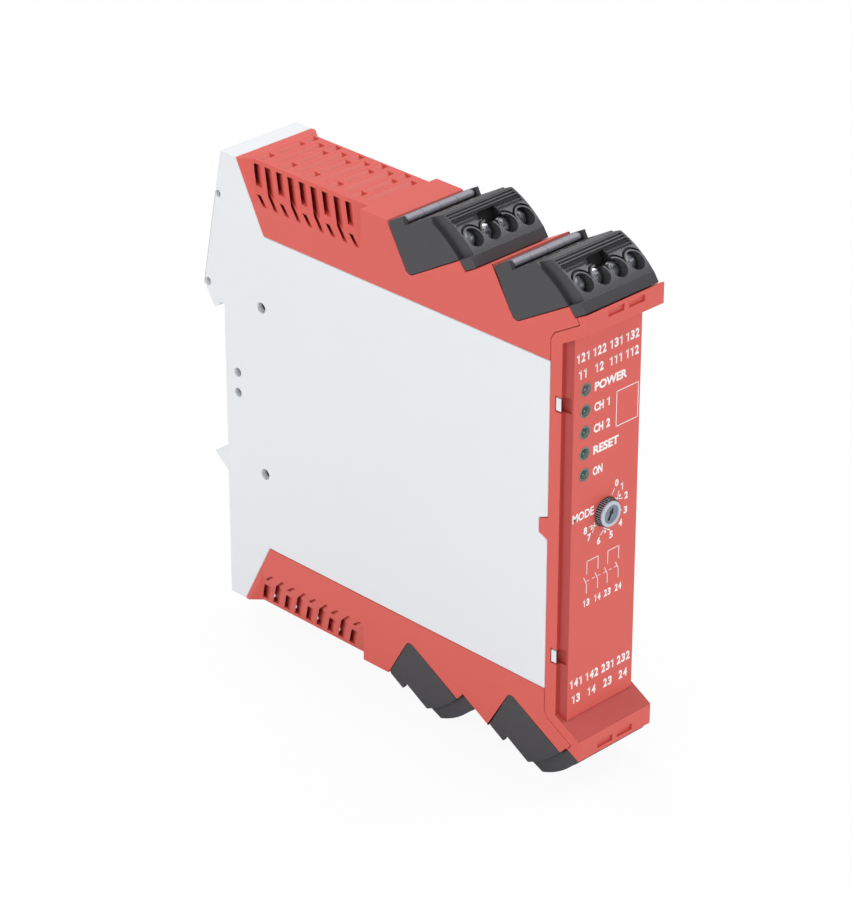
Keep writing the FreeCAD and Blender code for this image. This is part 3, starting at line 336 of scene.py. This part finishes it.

# Front cover: red as well, snapped into the housing, with a raised panel between two beaks.
# Each beak has two sunk fields for markers, which are left bare, and a slope of coarser grain whose red is also
# painted darker as shade.
PANEL = 103.5
badges = [((-7, -109, 48), (7, -107, 52.5)), ((-7, -109, -52.5), (7, -107, -48))]
cover = moulding("front_cover", red, 0.18, shortest=1.0, left=badges)
# The first of these is the same red with a little more gloss, painted darker as the shade on the strips beside the
# raised panel and inside the latch windows.
for material in (plastic("red_painted_shade_band", (0.43, 0.048, 0.038), roughness=0.30, clouding=0.05, depth=0.02),
                 plastic("red_coarse_slope_painted_shade", (0.47, 0.062, 0.050), roughness=0.58, clouding=0.12, depth=0.30,
                         size=1500)):
    cover.data.materials.append(material)
SHADE_BAND, COARSE_SHADED_SLOPE = 1, 2
# The beaks' slopes that face the panel take the coarse red, which is painted darker as shade.
for face in cover.data.polygons:
    across, depth, height = abs(face.center.x) / MM, -face.center.y / MM, abs(face.center.z) / MM
    rising = face.normal.z * math.copysign(1, face.center.z)
    beside = 9.9 < across < 11.1 and depth > 101.1 and height < 43.2
    latch_window_shade = across > 8.9 and depth > 99 and 27.6 < height < 31.2
    if beside or latch_window_shade:
        face.material_index = SHADE_BAND
    elif height > 43.5 and face.normal.y < -0.3 and rising < -0.3:
        face.material_index = COARSE_SHADED_SLOPE

# Print on the panel: pad printed in white, a few hundredths of a millimetre thick.
# It has only plain numbers, short generic words and the usual signs of contacts.
INK = 0.02
printed = []


def panel_spot(across, height):
    """A place on the panel's face."""
    return Vector((across * MM, -PANEL * MM, height * MM))


def word(text, start, end, low, high, bold=0.026):
    """A printed word between two places across and between two heights."""
    bpy.ops.object.select_all(action="DESELECT")
    bpy.ops.object.text_add()
    drawn = bpy.context.object
    drawn.data.body = text
    drawn.data.resolution_u = 4
    drawn.data.offset = bold
    drawn.data.extrude = 0.5
    bpy.ops.object.convert(target="MESH")
    drawn = bpy.context.object
    across = [vertex.co.x for vertex in drawn.data.vertices]
    along = [vertex.co.y for vertex in drawn.data.vertices]
    wide = (end - start) * MM / (max(across) - min(across))
    tall = (high - low) * MM / (max(along) - min(along))
    corner = panel_spot(start, low)
    drawn.matrix_world = Matrix(((wide, 0, 0, corner.x - min(across) * wide), (0, 0, -2 * INK * MM, corner.y),
                                 (0, tall, 0, corner.z - min(along) * tall), (0, 0, 0, 1)))
    bpy.ops.object.transform_apply(location=True, rotation=True, scale=True)
    printed.append(drawn)


def stroke(start, end, broad=0.2):
    """A printed line between two places."""
    run = Vector((end[0] - start[0], end[1] - start[1]))
    bpy.ops.object.select_all(action="DESELECT")
    bpy.ops.mesh.primitive_cube_add(size=1)
    line = bpy.context.object
    spot = panel_spot((start[0] + end[0]) / 2, (start[1] + end[1]) / 2)
    lying = Matrix.Rotation(-math.atan2(run.y, run.x), 4, "Y")
    size = Matrix.Diagonal(((run.length + broad * 0.6) * MM, 2 * INK * MM, broad * MM, 1))
    line.matrix_world = Matrix.Translation(spot) @ lying @ size
    bpy.ops.object.transform_apply(location=True, rotation=True, scale=True)
    printed.append(line)


def path(*places, broad=0.2):
    """Printed lines from place to place."""
    for start, end in zip(places, places[1:]):
        stroke(start, end, broad)


def number(text, middle, low, high, pitch=1.42, broad=0.34):
    """A printed number about a place across, in digits of one width, with a flag on each one."""
    tall = high - low
    for index, digit in enumerate(text):
        spot = middle + (index - (len(text) - 1) / 2) * pitch
        half = pitch * 0.41
        if digit == "1":
            path((spot - half * 0.75, high - tall * 0.24), (spot + half * 0.15, high - broad / 2), broad=broad * 0.8)
            stroke((spot + half * 0.2, high - broad / 3), (spot + half * 0.2, low + broad / 3), broad)
        else:
            word(digit, spot - half, spot + half, low, high, bold=0.036)


columns = (-7.4, -2.6, 2.4, 7.2)
for low, high, texts in ((38.8, 40.9, ("121", "122", "131", "132")), (35.0, 37.1, ("11", "12", "111", "112")),
                         (-37.1, -35.0, ("141", "142", "231", "232")), (-41.0, -38.9, ("13", "14", "23", "24"))):
    for middle, text in zip(columns, texts):
        number(text, middle, low, high)
for text, end, low in (("POWER", 5.8, 30.9), ("CH", -1.0, 26.2), ("CH", -1.0, 21.3), ("RESET", 3.8, 16.4),
                       ("ON", -0.9, 11.5)):
    word(text, -3.8, end, low, low + 2.0, bold=0.036)
for text, low in (("1", 26.2), ("2", 21.3)):
    number(text, 0.5, low, low + 2.0)
word("MODE", -9.6, -3.2, 2.5, 4.5)
path((2.9, 20.5), (9.4, 20.5), (9.4, 28.5), (2.9, 28.5), (2.9, 20.5), broad=0.18)

dial_middle = (0.4, 1.7)
stops = (30, 50, 76, 107, 133, 163, 197, 229, 250)


def about_dial(angle, reach):
    """A place at an angle clockwise from the top of the dial."""
    turned = math.radians(angle)
    return dial_middle[0] + reach * math.sin(turned), dial_middle[1] + reach * math.cos(turned)


for digit, angle in enumerate(stops):
    across, height = about_dial(angle, 6.4)
    number(str(digit), across, height - 0.85, height + 0.85, pitch=1.25, broad=0.26)
for angle in (30, 107, 133):
    stroke(about_dial(angle, 3.7), about_dial(angle, 5.1))
for first, last in ((50, 76), (163, 197), (229, 250)):
    middle = (first + last) / 2
    path(about_dial(first, 5.2), about_dial(middle - 7, 4.3), about_dial(middle + 7, 4.3), about_dial(last, 5.2))
    path(about_dial(middle - 9, 3.6), about_dial(middle + 9, 3.6))
    stroke(about_dial(middle, 3.6), about_dial(middle, 4.9), broad=0.5)

for low_arm, high_arm in ((-4.9, -1.5), (1.45, 4.8)):
    path((low_arm, -11), (low_arm, -8), (high_arm, -8), (high_arm, -11), broad=0.16)
for arm in (-4.9, -1.5, 1.45, 4.8):
    path((arm - 0.9, -11.6), (arm, -13.4), (arm, -15.6), broad=0.16)
for start in (-4.9, -3.2, -1.5, 0.2, 1.9, 3.5):
    stroke((start, -12.7), (start + 0.8, -12.7), broad=0.12)
for text, middle in (("13", -4.9), ("14", -1.5), ("23", 1.6), ("24", 4.9)):
    number(text, middle, -18.7, -17.0, pitch=1.1, broad=0.24)

bpy.ops.object.select_all(action="DESELECT")
for piece in printed:
    piece.select_set(True)
bpy.context.view_layer.objects.active = printed[0]
bpy.ops.object.join()
panel_print = bpy.context.object
panel_print.name = "panel_print"
bpy.ops.object.mode_set(mode="EDIT")
bpy.ops.mesh.select_all(action="SELECT")
bpy.ops.mesh.remove_doubles(threshold=SAME_SPOT)
bpy.ops.object.mode_set(mode="OBJECT")
ink = plastic("white_print", (0.90, 0.90, 0.90), roughness=0.45, clouding=0.05, depth=0.1, size=9000)
panel_print.data.materials.clear()
panel_print.data.materials.append(ink)
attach(panel_print, "housing")

# Plugs: black mouldings with four clamp chambers, pushed into their pockets at thirty degrees.
# The black is satin, so its rounded edges and the slanted nose catch the light.
tilt = math.radians(30)
POCKET_HEIGHT = 43.7
POLES, POLE_PITCH = 4, 5
NOSE_START, NOSE_END = 16.95, 10.15
rows = {"top_rear": (57.5, 1), "top_front": (88.0, 1), "bottom_rear": (57.5, -1), "bottom_front": (88.0, -1)}
black = plastic("black_plastic", (0.040, 0.040, 0.046), roughness=0.36, clouding=0.10, depth=0.10, size=2400)
# The floor of each plug's tool slot is painted near black as shade.
painted_slot_shade = plastic("slot_painted_shade", (0.004, 0.004, 0.005), roughness=0.7)


def plug_frame(row):
    """Where a plug stands: X across, Y out of its pocket, Z along its screws."""
    depth, side = rows[row]
    return Matrix(((side, 0, 0, 0), (0, math.sin(tilt), -math.cos(tilt), -depth * MM),
                   (0, side * math.cos(tilt), side * math.sin(tilt), side * POCKET_HEIGHT * MM), (0, 0, 0, 1)))


for row in rows:
    standing = plug_frame(row)
    inverse = standing.inverted()

    def flush(corner):
        """Ends the nose flush on the plug's right, where nothing is coded on it."""
        across, out, along = inverse @ corner / MM
        if across > 10.2 and out < 0.5 and along > NOSE_START:
            corner.xyz = standing @ (Vector((NOSE_END, out, along)) * MM)

    plug = moulding("plug_" + row, black, 0.16, shortest=1.0, move=flush)
    plug.data.materials.append(painted_slot_shade)
    # Faces on the tool slot's floor take the near black of painted shade.
    for face in plug.data.polygons:
        across, out, along = inverse @ face.center / MM
        if abs(across) < 2.5 and 4.6 < out < 7.7 and 15.8 < along < 18.2:
            face.material_index = 1
finish(black, "terminal_headers", "selector_switch")
finish(plastic("chip_resin", (0.022, 0.022, 0.024), roughness=0.55, depth=0.2, size=5200), "controller_chips")

# Release levers: each a dark grey bar on two pivots, moulded in two tones.
# Four paler fields run along its front edge, with narrow dark lines between them.
lever_plastic = plastic("lever_plastic", (0.105, 0.103, 0.125), roughness=0.34, clouding=0.06, depth=0.06)
field_plastic = plastic("lever_fields", (0.33, 0.32, 0.37), roughness=0.40, clouding=0.05, depth=0.05)
FIELD_LINES, FIELD_END = (0.08, 4.8, 4.95), 9.6
for row in rows:
    lever = moulding("release_lever_" + row, lever_plastic, 0.14, shortest=0.8)
    take(lever)
    bpy.ops.object.mode_set(mode="EDIT")
    for across in (-FIELD_END, *(-line for line in FIELD_LINES[::-1]), *FIELD_LINES, FIELD_END):
        bpy.ops.mesh.select_all(action="SELECT")
        bpy.ops.mesh.bisect(plane_co=(across * MM, 0, 0), plane_no=(1, 0, 0))
    bpy.ops.object.mode_set(mode="OBJECT")
    lever.data.materials.append(field_plastic)
    along = plug_frame(row).to_3x3() @ Vector((0, 0, 1))
    for face in lever.data.polygons:
        spot = abs(face.center.x) / MM
        field = FIELD_LINES[0] < spot < FIELD_LINES[1] or FIELD_LINES[2] < spot < FIELD_END
        if field and face.normal.dot(along) > 0.3:
            face.material_index = 1

# Clamp screws: steel, nickel plated, with a cross slot in a domed head and a rolled thread.
# Each is turned as it happened to be left, and draws its cage up to the contact.


def bar(vertices, radius, start, end):
    """A round bar along Z between two heights, with its place in its mesh."""
    bpy.ops.object.select_all(action="DESELECT")
    bpy.ops.mesh.primitive_cylinder_add(vertices=vertices, radius=radius * MM, depth=(end - start) * MM,
                                        location=(0, 0, (start + end) / 2 * MM))
    bpy.ops.object.transform_apply(location=True, rotation=True, scale=True)
    return bpy.context.object


def end_face(piece, side):
    """Opens a bar for editing with its upper or lower end face selected."""
    take(piece)
    bpy.ops.object.mode_set(mode="EDIT")
    bpy.ops.mesh.select_mode(type="FACE")
    shape = bmesh.from_edit_mesh(piece.data)
    for face in shape.faces:
        face.select = face.normal.z * side > 0.9
    bmesh.update_edit_mesh(piece.data)


def rounded(steps):
    """Draws the selected end face in and up in steps, in millimetres."""
    for inward, rise in steps:
        bpy.ops.mesh.inset(thickness=inward * MM, depth=0)
        bpy.ops.transform.translate(value=(0, 0, rise * MM))


screw_steel = metal("nickel_plating", (0.60, 0.61, 0.65), 0.20, stretched=(2500, 2500, 2500), depth=0.05)
screw = bar(40, 1.9, 16.35, 17.55)
end_face(screw, 1)
rounded(((0.10, 0.14), (0.22, 0.12), (0.45, 0.08)))
bpy.ops.object.mode_set(mode="OBJECT")
end_face(screw, -1)
bpy.ops.mesh.inset(thickness=0.68 * MM, depth=0)
THREAD_RINGS, HALF_PITCH, ROOT = 22, 0.25, 0.86
lower = {"value": (0, 0, -HALF_PITCH * MM)}
bpy.ops.mesh.extrude_region_move(TRANSFORM_OT_translate=lower)
for ring in range(THREAD_RINGS):
    bpy.ops.mesh.extrude_region_move(TRANSFORM_OT_translate=lower)
    grow = ROOT if ring % 2 == 0 else 1 / ROOT
    bpy.ops.transform.resize(value=(grow, grow, 1), center_override=(0, 0, 0))
bpy.ops.object.mode_set(mode="OBJECT")


def cut(piece, cutter):
    """Cuts one shape out of another."""
    take(piece)
    bpy.ops.object.modifier_add(type="BOOLEAN")
    made = piece.modifiers[-1]
    made.operation = "DIFFERENCE"
    made.object = cutter
    bpy.ops.object.modifier_apply(modifier=made.name)
    bpy.data.objects.remove(cutter)


def block(size, spot, turned=0):
    """A box to cut with, turned about the Z axis."""
    bpy.ops.object.select_all(action="DESELECT")
    bpy.ops.mesh.primitive_cube_add(size=1)
    made = bpy.context.object
    made.matrix_world = (Matrix.Rotation(math.radians(turned), 4, "Z") @ Matrix.Translation(Vector(spot) * MM)
                         @ Matrix.Diagonal((size[0] * MM, size[1] * MM, size[2] * MM, 1)))
    return made


cut(screw, block((4.4, 0.75, 1.4), (0, 0, 17.9)))
cut(screw, block((0.7, 2.5, 1.4), (0, 0, 17.95)))
smooth(screw, 32)
screw.data.materials.append(screw_steel)
left_turned = (12, 64, -28, 40)
SCREW_OUT = 3.2
for row, (depth, _) in rows.items():
    for pole in range(POLES):
        copy = screw.copy()
        copy.data = screw.data.copy()
        copy.name = f"clamp_screw_{row}_{pole + 1}"
        bpy.context.collection.objects.link(copy)
        take(copy)
        spot = Vector(((pole - (POLES - 1) / 2) * POLE_PITCH * MM, SCREW_OUT * MM, 0))
        copy.matrix_world = (plug_frame(row) @ Matrix.Translation(spot)
                             @ Matrix.Rotation(math.radians(left_turned[pole] + 17 * depth), 4, "Z"))
        bpy.ops.object.transform_apply(location=True, rotation=True, scale=True)
        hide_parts(f"screw_{row}_{pole + 1}")
        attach(copy, f"screw_{row}_{pole + 1}")
bpy.data.objects.remove(screw)
cage_steel = metal("cage_plating", (0.62, 0.63, 0.66), 0.30)
contact_tin = metal("tinned_contact", (0.78, 0.77, 0.72), 0.26, stretched=(900, 900, 5000))
for row in rows:
    finish(cage_steel, *(f"cage_{row}_{pole + 1}" for pole in range(POLES)))
    finish(contact_tin, "contacts_" + row)
finish(contact_tin, "header_pins")

# Boards and what they carry, seen only through the vents: green lacquer over copper lines,
# pale relay cases, a transformer with a taped winding, and sleeved capacitors.
finish(plastic("relay_case", (0.80, 0.78, 0.68), roughness=0.30, clouding=0.08), "output_relays")


def two_part(name, first, second, axis, start, end, rough=(0.35, 0.35), shine=(0, 0)):
    """A finish that is one thing between two places on an axis and another outside them."""
    made = bpy.data.materials.new(name)
    made.use_nodes = True
    tree = made.node_tree
    shader = tree.nodes["Principled BSDF"]
    spot = tree.nodes.new("ShaderNodeTexCoord")
    parts = tree.nodes.new("ShaderNodeSeparateXYZ")
    tree.links.new(spot.outputs["Object"], parts.inputs[0])
    after = tree.nodes.new("ShaderNodeMath")
    after.operation = "GREATER_THAN"
    after.inputs[1].default_value = start * MM
    before = tree.nodes.new("ShaderNodeMath")
    before.operation = "LESS_THAN"
    before.inputs[1].default_value = end * MM
    both = tree.nodes.new("ShaderNodeMath")
    both.operation = "MULTIPLY"
    tree.links.new(parts.outputs[axis], after.inputs[0])
    tree.links.new(parts.outputs[axis], before.inputs[0])
    tree.links.new(after.outputs[0], both.inputs[0])
    tree.links.new(before.outputs[0], both.inputs[1])
    for socket, values in (("Roughness", rough), ("Metallic", shine)):
        blend = tree.nodes.new("ShaderNodeMapRange")
        blend.inputs["To Min"].default_value = values[1]
        blend.inputs["To Max"].default_value = values[0]
        tree.links.new(both.outputs[0], blend.inputs["Value"])
        tree.links.new(blend.outputs["Result"], shader.inputs[socket])
    speck = tree.nodes.new("ShaderNodeTexNoise")
    speck.inputs["Scale"].default_value = 900
    tree.links.new(spot.outputs["Object"], speck.inputs["Vector"])
    tones = []
    for color in (second, first):
        tone = tree.nodes.new("ShaderNodeMix")
        tone.data_type = "RGBA"
        tone.inputs["A"].default_value = (*(channel * 0.85 for channel in color), 1)
        tone.inputs["B"].default_value = (*color, 1)
        tree.links.new(speck.outputs["Fac"], tone.inputs["Factor"])
        tones.append(tone)
    whole = tree.nodes.new("ShaderNodeMix")
    whole.data_type = "RGBA"
    tree.links.new(both.outputs[0], whole.inputs["Factor"])
    tree.links.new(tones[0].outputs["Result"], whole.inputs["A"])
    tree.links.new(tones[1].outputs["Result"], whole.inputs["B"])
    tree.links.new(whole.outputs["Result"], shader.inputs["Base Color"])
    return made


finish(two_part("core_and_winding", (0.20, 0.20, 0.22), (0.70, 0.50, 0.12), "X", -4.2, 4.1, rough=(0.5, 0.3)),
       "supply_transformer")
finish(two_part("sleeve_and_can", (0.04, 0.06, 0.16), (0.75, 0.76, 0.78), "X", -7, 5.5, rough=(0.25, 0.3),
                shine=(0, 1)), "supply_capacitors")
lacquer = bpy.data.materials.new("green_lacquer")
lacquer.use_nodes = True
tree = lacquer.node_tree
shader = tree.nodes["Principled BSDF"]
shader.inputs["Roughness"].default_value = 0.28
spot = tree.nodes.new("ShaderNodeTexCoord")
turned = tree.nodes.new("ShaderNodeMapping")
turned.inputs["Rotation"].default_value = (math.radians(90), 0, math.radians(90))
copper = tree.nodes.new("ShaderNodeTexBrick")
copper.inputs["Scale"].default_value = 160
copper.inputs["Mortar Size"].default_value = 0.045
copper.inputs["Color1"].default_value = (0.012, 0.13, 0.045, 1)
copper.inputs["Color2"].default_value = (0.010, 0.11, 0.040, 1)
copper.inputs["Mortar"].default_value = (0.05, 0.26, 0.09, 1)
raised = tree.nodes.new("ShaderNodeBump")
raised.inputs["Strength"].default_value = 0.3
raised.inputs["Distance"].default_value = 0.0001
tree.links.new(spot.outputs["Object"], turned.inputs["Vector"])
tree.links.new(turned.outputs["Vector"], copper.inputs["Vector"])
tree.links.new(copper.outputs["Color"], shader.inputs["Base Color"])
tree.links.new(copper.outputs["Fac"], raised.inputs["Height"])
tree.links.new(raised.outputs["Normal"], shader.inputs["Normal"])
finish(lacquer, "main_board", "front_board")

# Status lamps: five tinted lenses on the front board, each domed and just proud of a grey rim.
# The top one is clear and the others green, and they catch a small bright spot of light.
FACING = Matrix(((1, 0, 0, 0), (0, 0, -1, 0), (0, 1, 0, 0), (0, 0, 0, 1)))


def tinted(name, color, deep):
    """A tinted clear plastic, cloudy in fine random patches."""
    made = bpy.data.materials.new(name)
    made.use_nodes = True
    tree = made.node_tree
    shader = tree.nodes["Principled BSDF"]
    shader.inputs["Coat Weight"].default_value = 0.6
    shader.inputs["Coat Roughness"].default_value = 0.06
    shader.inputs["Transmission Weight"].default_value = 0.25
    spot = tree.nodes.new("ShaderNodeTexCoord")
    cloudy = tree.nodes.new("ShaderNodeTexNoise")
    cloudy.inputs["Scale"].default_value = 700
    mixed = tree.nodes.new("ShaderNodeMix")
    mixed.data_type = "RGBA"
    mixed.inputs["A"].default_value = (*deep, 1)
    mixed.inputs["B"].default_value = (*color, 1)
    rough = tree.nodes.new("ShaderNodeMapRange")
    rough.inputs["To Min"].default_value = 0.05
    rough.inputs["To Max"].default_value = 0.14
    tree.links.new(spot.outputs["Object"], cloudy.inputs["Vector"])
    tree.links.new(cloudy.outputs["Fac"], mixed.inputs["Factor"])
    tree.links.new(cloudy.outputs["Fac"], rough.inputs["Value"])
    tree.links.new(mixed.outputs["Result"], shader.inputs["Base Color"])
    tree.links.new(rough.outputs["Result"], shader.inputs["Roughness"])
    return made


green_lens = tinted("green_lens", (0.022, 0.125, 0.070), (0.006, 0.045, 0.026))
clear_lens = tinted("clear_lens", (0.15, 0.125, 0.15), (0.05, 0.042, 0.05))
rim_plastic = plastic("lamp_rims", (0.20, 0.235, 0.22), roughness=0.2)
lens = bar(36, 1.14, 97.5, 102.8)
end_face(lens, 1)
rounded(((0.04, 0.29), (0.16, 0.35), (0.27, 0.27), (0.29, 0.15), (0.21, 0.05)))
bpy.ops.object.mode_set(mode="OBJECT")
smooth(lens, 50)
rim = bar(36, 1.5, 101.92, 103.52)
end_face(rim, 1)
rounded(((0.08, 0.08), (0.14, 0), (0.14, -0.30)))
bpy.ops.object.mode_set(mode="OBJECT")
smooth(rim, 40)
LAMPS, LAMP_PITCH = 5, 4.85
for index in range(LAMPS):
    for part, name, material in ((lens, "lamp_lens", clear_lens if index == 0 else green_lens),
                                 (rim, "lamp_rim", rim_plastic)):
        copy = part.copy()
        copy.data = part.data.copy()
        copy.name = f"{name}_{index + 1}"
        bpy.context.collection.objects.link(copy)
        take(copy)
        copy.matrix_world = Matrix.Translation((-6.4 * MM, 0, (32.2 - index * LAMP_PITCH) * MM)) @ FACING
        bpy.ops.object.transform_apply(location=True, rotation=True, scale=True)
        copy.data.materials.append(material)
        if index == 0 and part == lens:
            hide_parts("status_leds")
        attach(copy, "housing")
bpy.data.objects.remove(lens)
bpy.data.objects.remove(rim)

# Selector dial: a blue-grey knob with a knurled edge, a broad flat rim and a sunk disc.
# An arrow slot across the disc takes the screwdriver and shows where it stands; its walls and floor and the valleys
# of the knurl are painted near black as shade.
TEETH, TOOTH_STEPS = 38, 4
DISC_RADIUS = 2.1
ARROW = -28
knob = bar(TEETH * TOOTH_STEPS, 3.1, 101.7, 104.8)
bpy.ops.object.mode_set(mode="EDIT")
bpy.ops.mesh.select_mode(type="VERT")
bpy.ops.mesh.select_all(action="DESELECT")
shape = bmesh.from_edit_mesh(knob.data)
for vertex in shape.verts:
    step = round(math.atan2(vertex.co.y, vertex.co.x) / (2 * math.pi) * TEETH * TOOTH_STEPS)
    vertex.select = step % TOOTH_STEPS in (2, 3)
bmesh.update_edit_mesh(knob.data)
bpy.ops.transform.resize(value=(0.87, 0.87, 1), center_override=(0, 0, 0))
bpy.ops.object.mode_set(mode="OBJECT")
disc = bar(72, 2.86, 104.6, 105.12)
end_face(disc, 1)
rounded(((0.16, 0.16), (0.54, 0), (0.06, -0.30)))
bpy.ops.object.mode_set(mode="OBJECT")
head = bar(3, 0.95, 104.4, 106)
head.matrix_world = Matrix.Rotation(math.radians(ARROW), 4, "Z") @ Matrix.Translation((0, 0.6 * MM, 0))
cut(disc, head)
cut(disc, block((0.72, 1.9, 1.6), (0, -0.55, 105.2), turned=ARROW))
hub = bar(32, 1.2, 98.5, 103)
end_face(hub, -1)
rounded(((0.15, -0.12),))
bpy.ops.object.mode_set(mode="OBJECT")
for made in (disc, hub):
    made.select_set(True)
knob.select_set(True)
bpy.context.view_layer.objects.active = knob
bpy.ops.object.join()
knob.name = "dial_knob"
smooth(knob, 32)
for material in (plastic("knob_plastic", (0.50, 0.56, 0.64), roughness=0.34),
                 plastic("knob_disc", (0.17, 0.21, 0.27), roughness=0.28),
                 plastic("knob_painted_shade", (0.03, 0.035, 0.04), roughness=0.5)):
    knob.data.materials.append(material)
SUNK_DISC, KNOB_SHADE = 1, 2
# The knurl's valleys and the arrow slot's walls and floor take the near black, as painted shade.
for face in knob.data.polygons:
    reach = math.hypot(face.center.x, face.center.y) / MM
    height = face.center.z / MM
    knurl_valley_shade = 2.5 < reach < 2.95 and 101.8 < height < 104.79 and abs(face.normal.z) < 0.1
    if reach < DISC_RADIUS and 104.92 < height < 105.1 and face.normal.z > 0.9:
        face.material_index = SUNK_DISC
    elif knurl_valley_shade or (reach < DISC_RADIUS and 103 < height < 104.92):
        face.material_index = KNOB_SHADE
knob.matrix_world = Matrix.Translation((dial_middle[0] * MM, 0, dial_middle[1] * MM)) @ FACING
take(knob)
bpy.ops.object.transform_apply(location=True, rotation=True, scale=True)
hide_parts("selector_dial")
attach(knob, "dial")

# Studio: a white floor that carries on into a white surround, and four large soft lamps.
# The camera sees the white itself, and the floor keeps a faint shadow.
bpy.ops.object.select_all(action="DESELECT")
FLOOR_SIZE, FLOOR_GAP = 8, 0.2
bpy.ops.mesh.primitive_plane_add(size=FLOOR_SIZE, location=(0, 0, cad_low[2] - FLOOR_GAP * MM))
floor = bpy.context.object
floor.name = "floor"
floor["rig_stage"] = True


def seen(tree):
    """Is one where the camera or clear plastic looks."""
    light = tree.nodes.new("ShaderNodeLightPath")
    both = tree.nodes.new("ShaderNodeMath")
    both.operation = "MAXIMUM"
    tree.links.new(light.outputs["Is Camera Ray"], both.inputs[0])
    tree.links.new(light.outputs["Is Transmission Ray"], both.inputs[1])
    return both.outputs[0]


FLOOR_WHITE = 0.93
white = bpy.data.materials.new("floor_white")
white.use_nodes = True
tree = white.node_tree
shader = tree.nodes["Principled BSDF"]
shader.inputs["Base Color"].default_value = (0.85, 0.85, 0.85, 1)
shader.inputs["Roughness"].default_value = 0.9
glow = tree.nodes.new("ShaderNodeEmission")
share = tree.nodes.new("ShaderNodeMath")
share.operation = "MULTIPLY"
share.inputs[1].default_value = FLOOR_WHITE
mixed = tree.nodes.new("ShaderNodeMixShader")
tree.links.new(seen(tree), share.inputs[0])
tree.links.new(share.outputs[0], mixed.inputs[0])
tree.links.new(shader.outputs[0], mixed.inputs[1])
tree.links.new(glow.outputs[0], mixed.inputs[2])
tree.links.new(mixed.outputs[0], tree.nodes["Material Output"].inputs["Surface"])
floor.data.materials.append(white)
world = bpy.data.worlds.new("surround")
bpy.context.scene.world = world
world.use_nodes = True
tree = world.node_tree
even = tree.nodes["Background"]
even.inputs["Color"].default_value = (1, 1, 1, 1)
even.inputs["Strength"].default_value = 0.6
shown = tree.nodes.new("ShaderNodeBackground")
shown.inputs["Color"].default_value = (1, 1, 1, 1)
mixed = tree.nodes.new("ShaderNodeMixShader")
tree.links.new(seen(tree), mixed.inputs[0])
tree.links.new(even.outputs[0], mixed.inputs[1])
tree.links.new(shown.outputs[0], mixed.inputs[2])
tree.links.new(mixed.outputs[0], tree.nodes["World Output"].inputs["Surface"])
lit = Vector((0, -0.05, 0))
for name, spot, size, watts in (("soft_lamp_left", Vector((-0.60, 0.04, 0.52)), 0.6, 2.0),
                                ("soft_lamp_right", Vector((0.57, -0.23, 0.66)), 0.30, 2.2),
                                ("soft_lamp_behind", Vector((0.10, 0.62, 0.72)), 0.6, 2.4),
                                ("soft_lamp_front", Vector((-0.30, -0.90, 0.12)), 0.4, 2.0)):
    bpy.ops.object.light_add(type="AREA")
    lamp = bpy.context.object
    lamp.name = name
    lamp.data.size = size
    lamp.data.energy = watts
    lamp.matrix_world = Matrix.LocRotScale(spot, (lit - spot).to_track_quat("-Z", "Y"), None)
bpy.context.scene.view_settings.view_transform = "Standard"

low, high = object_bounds()
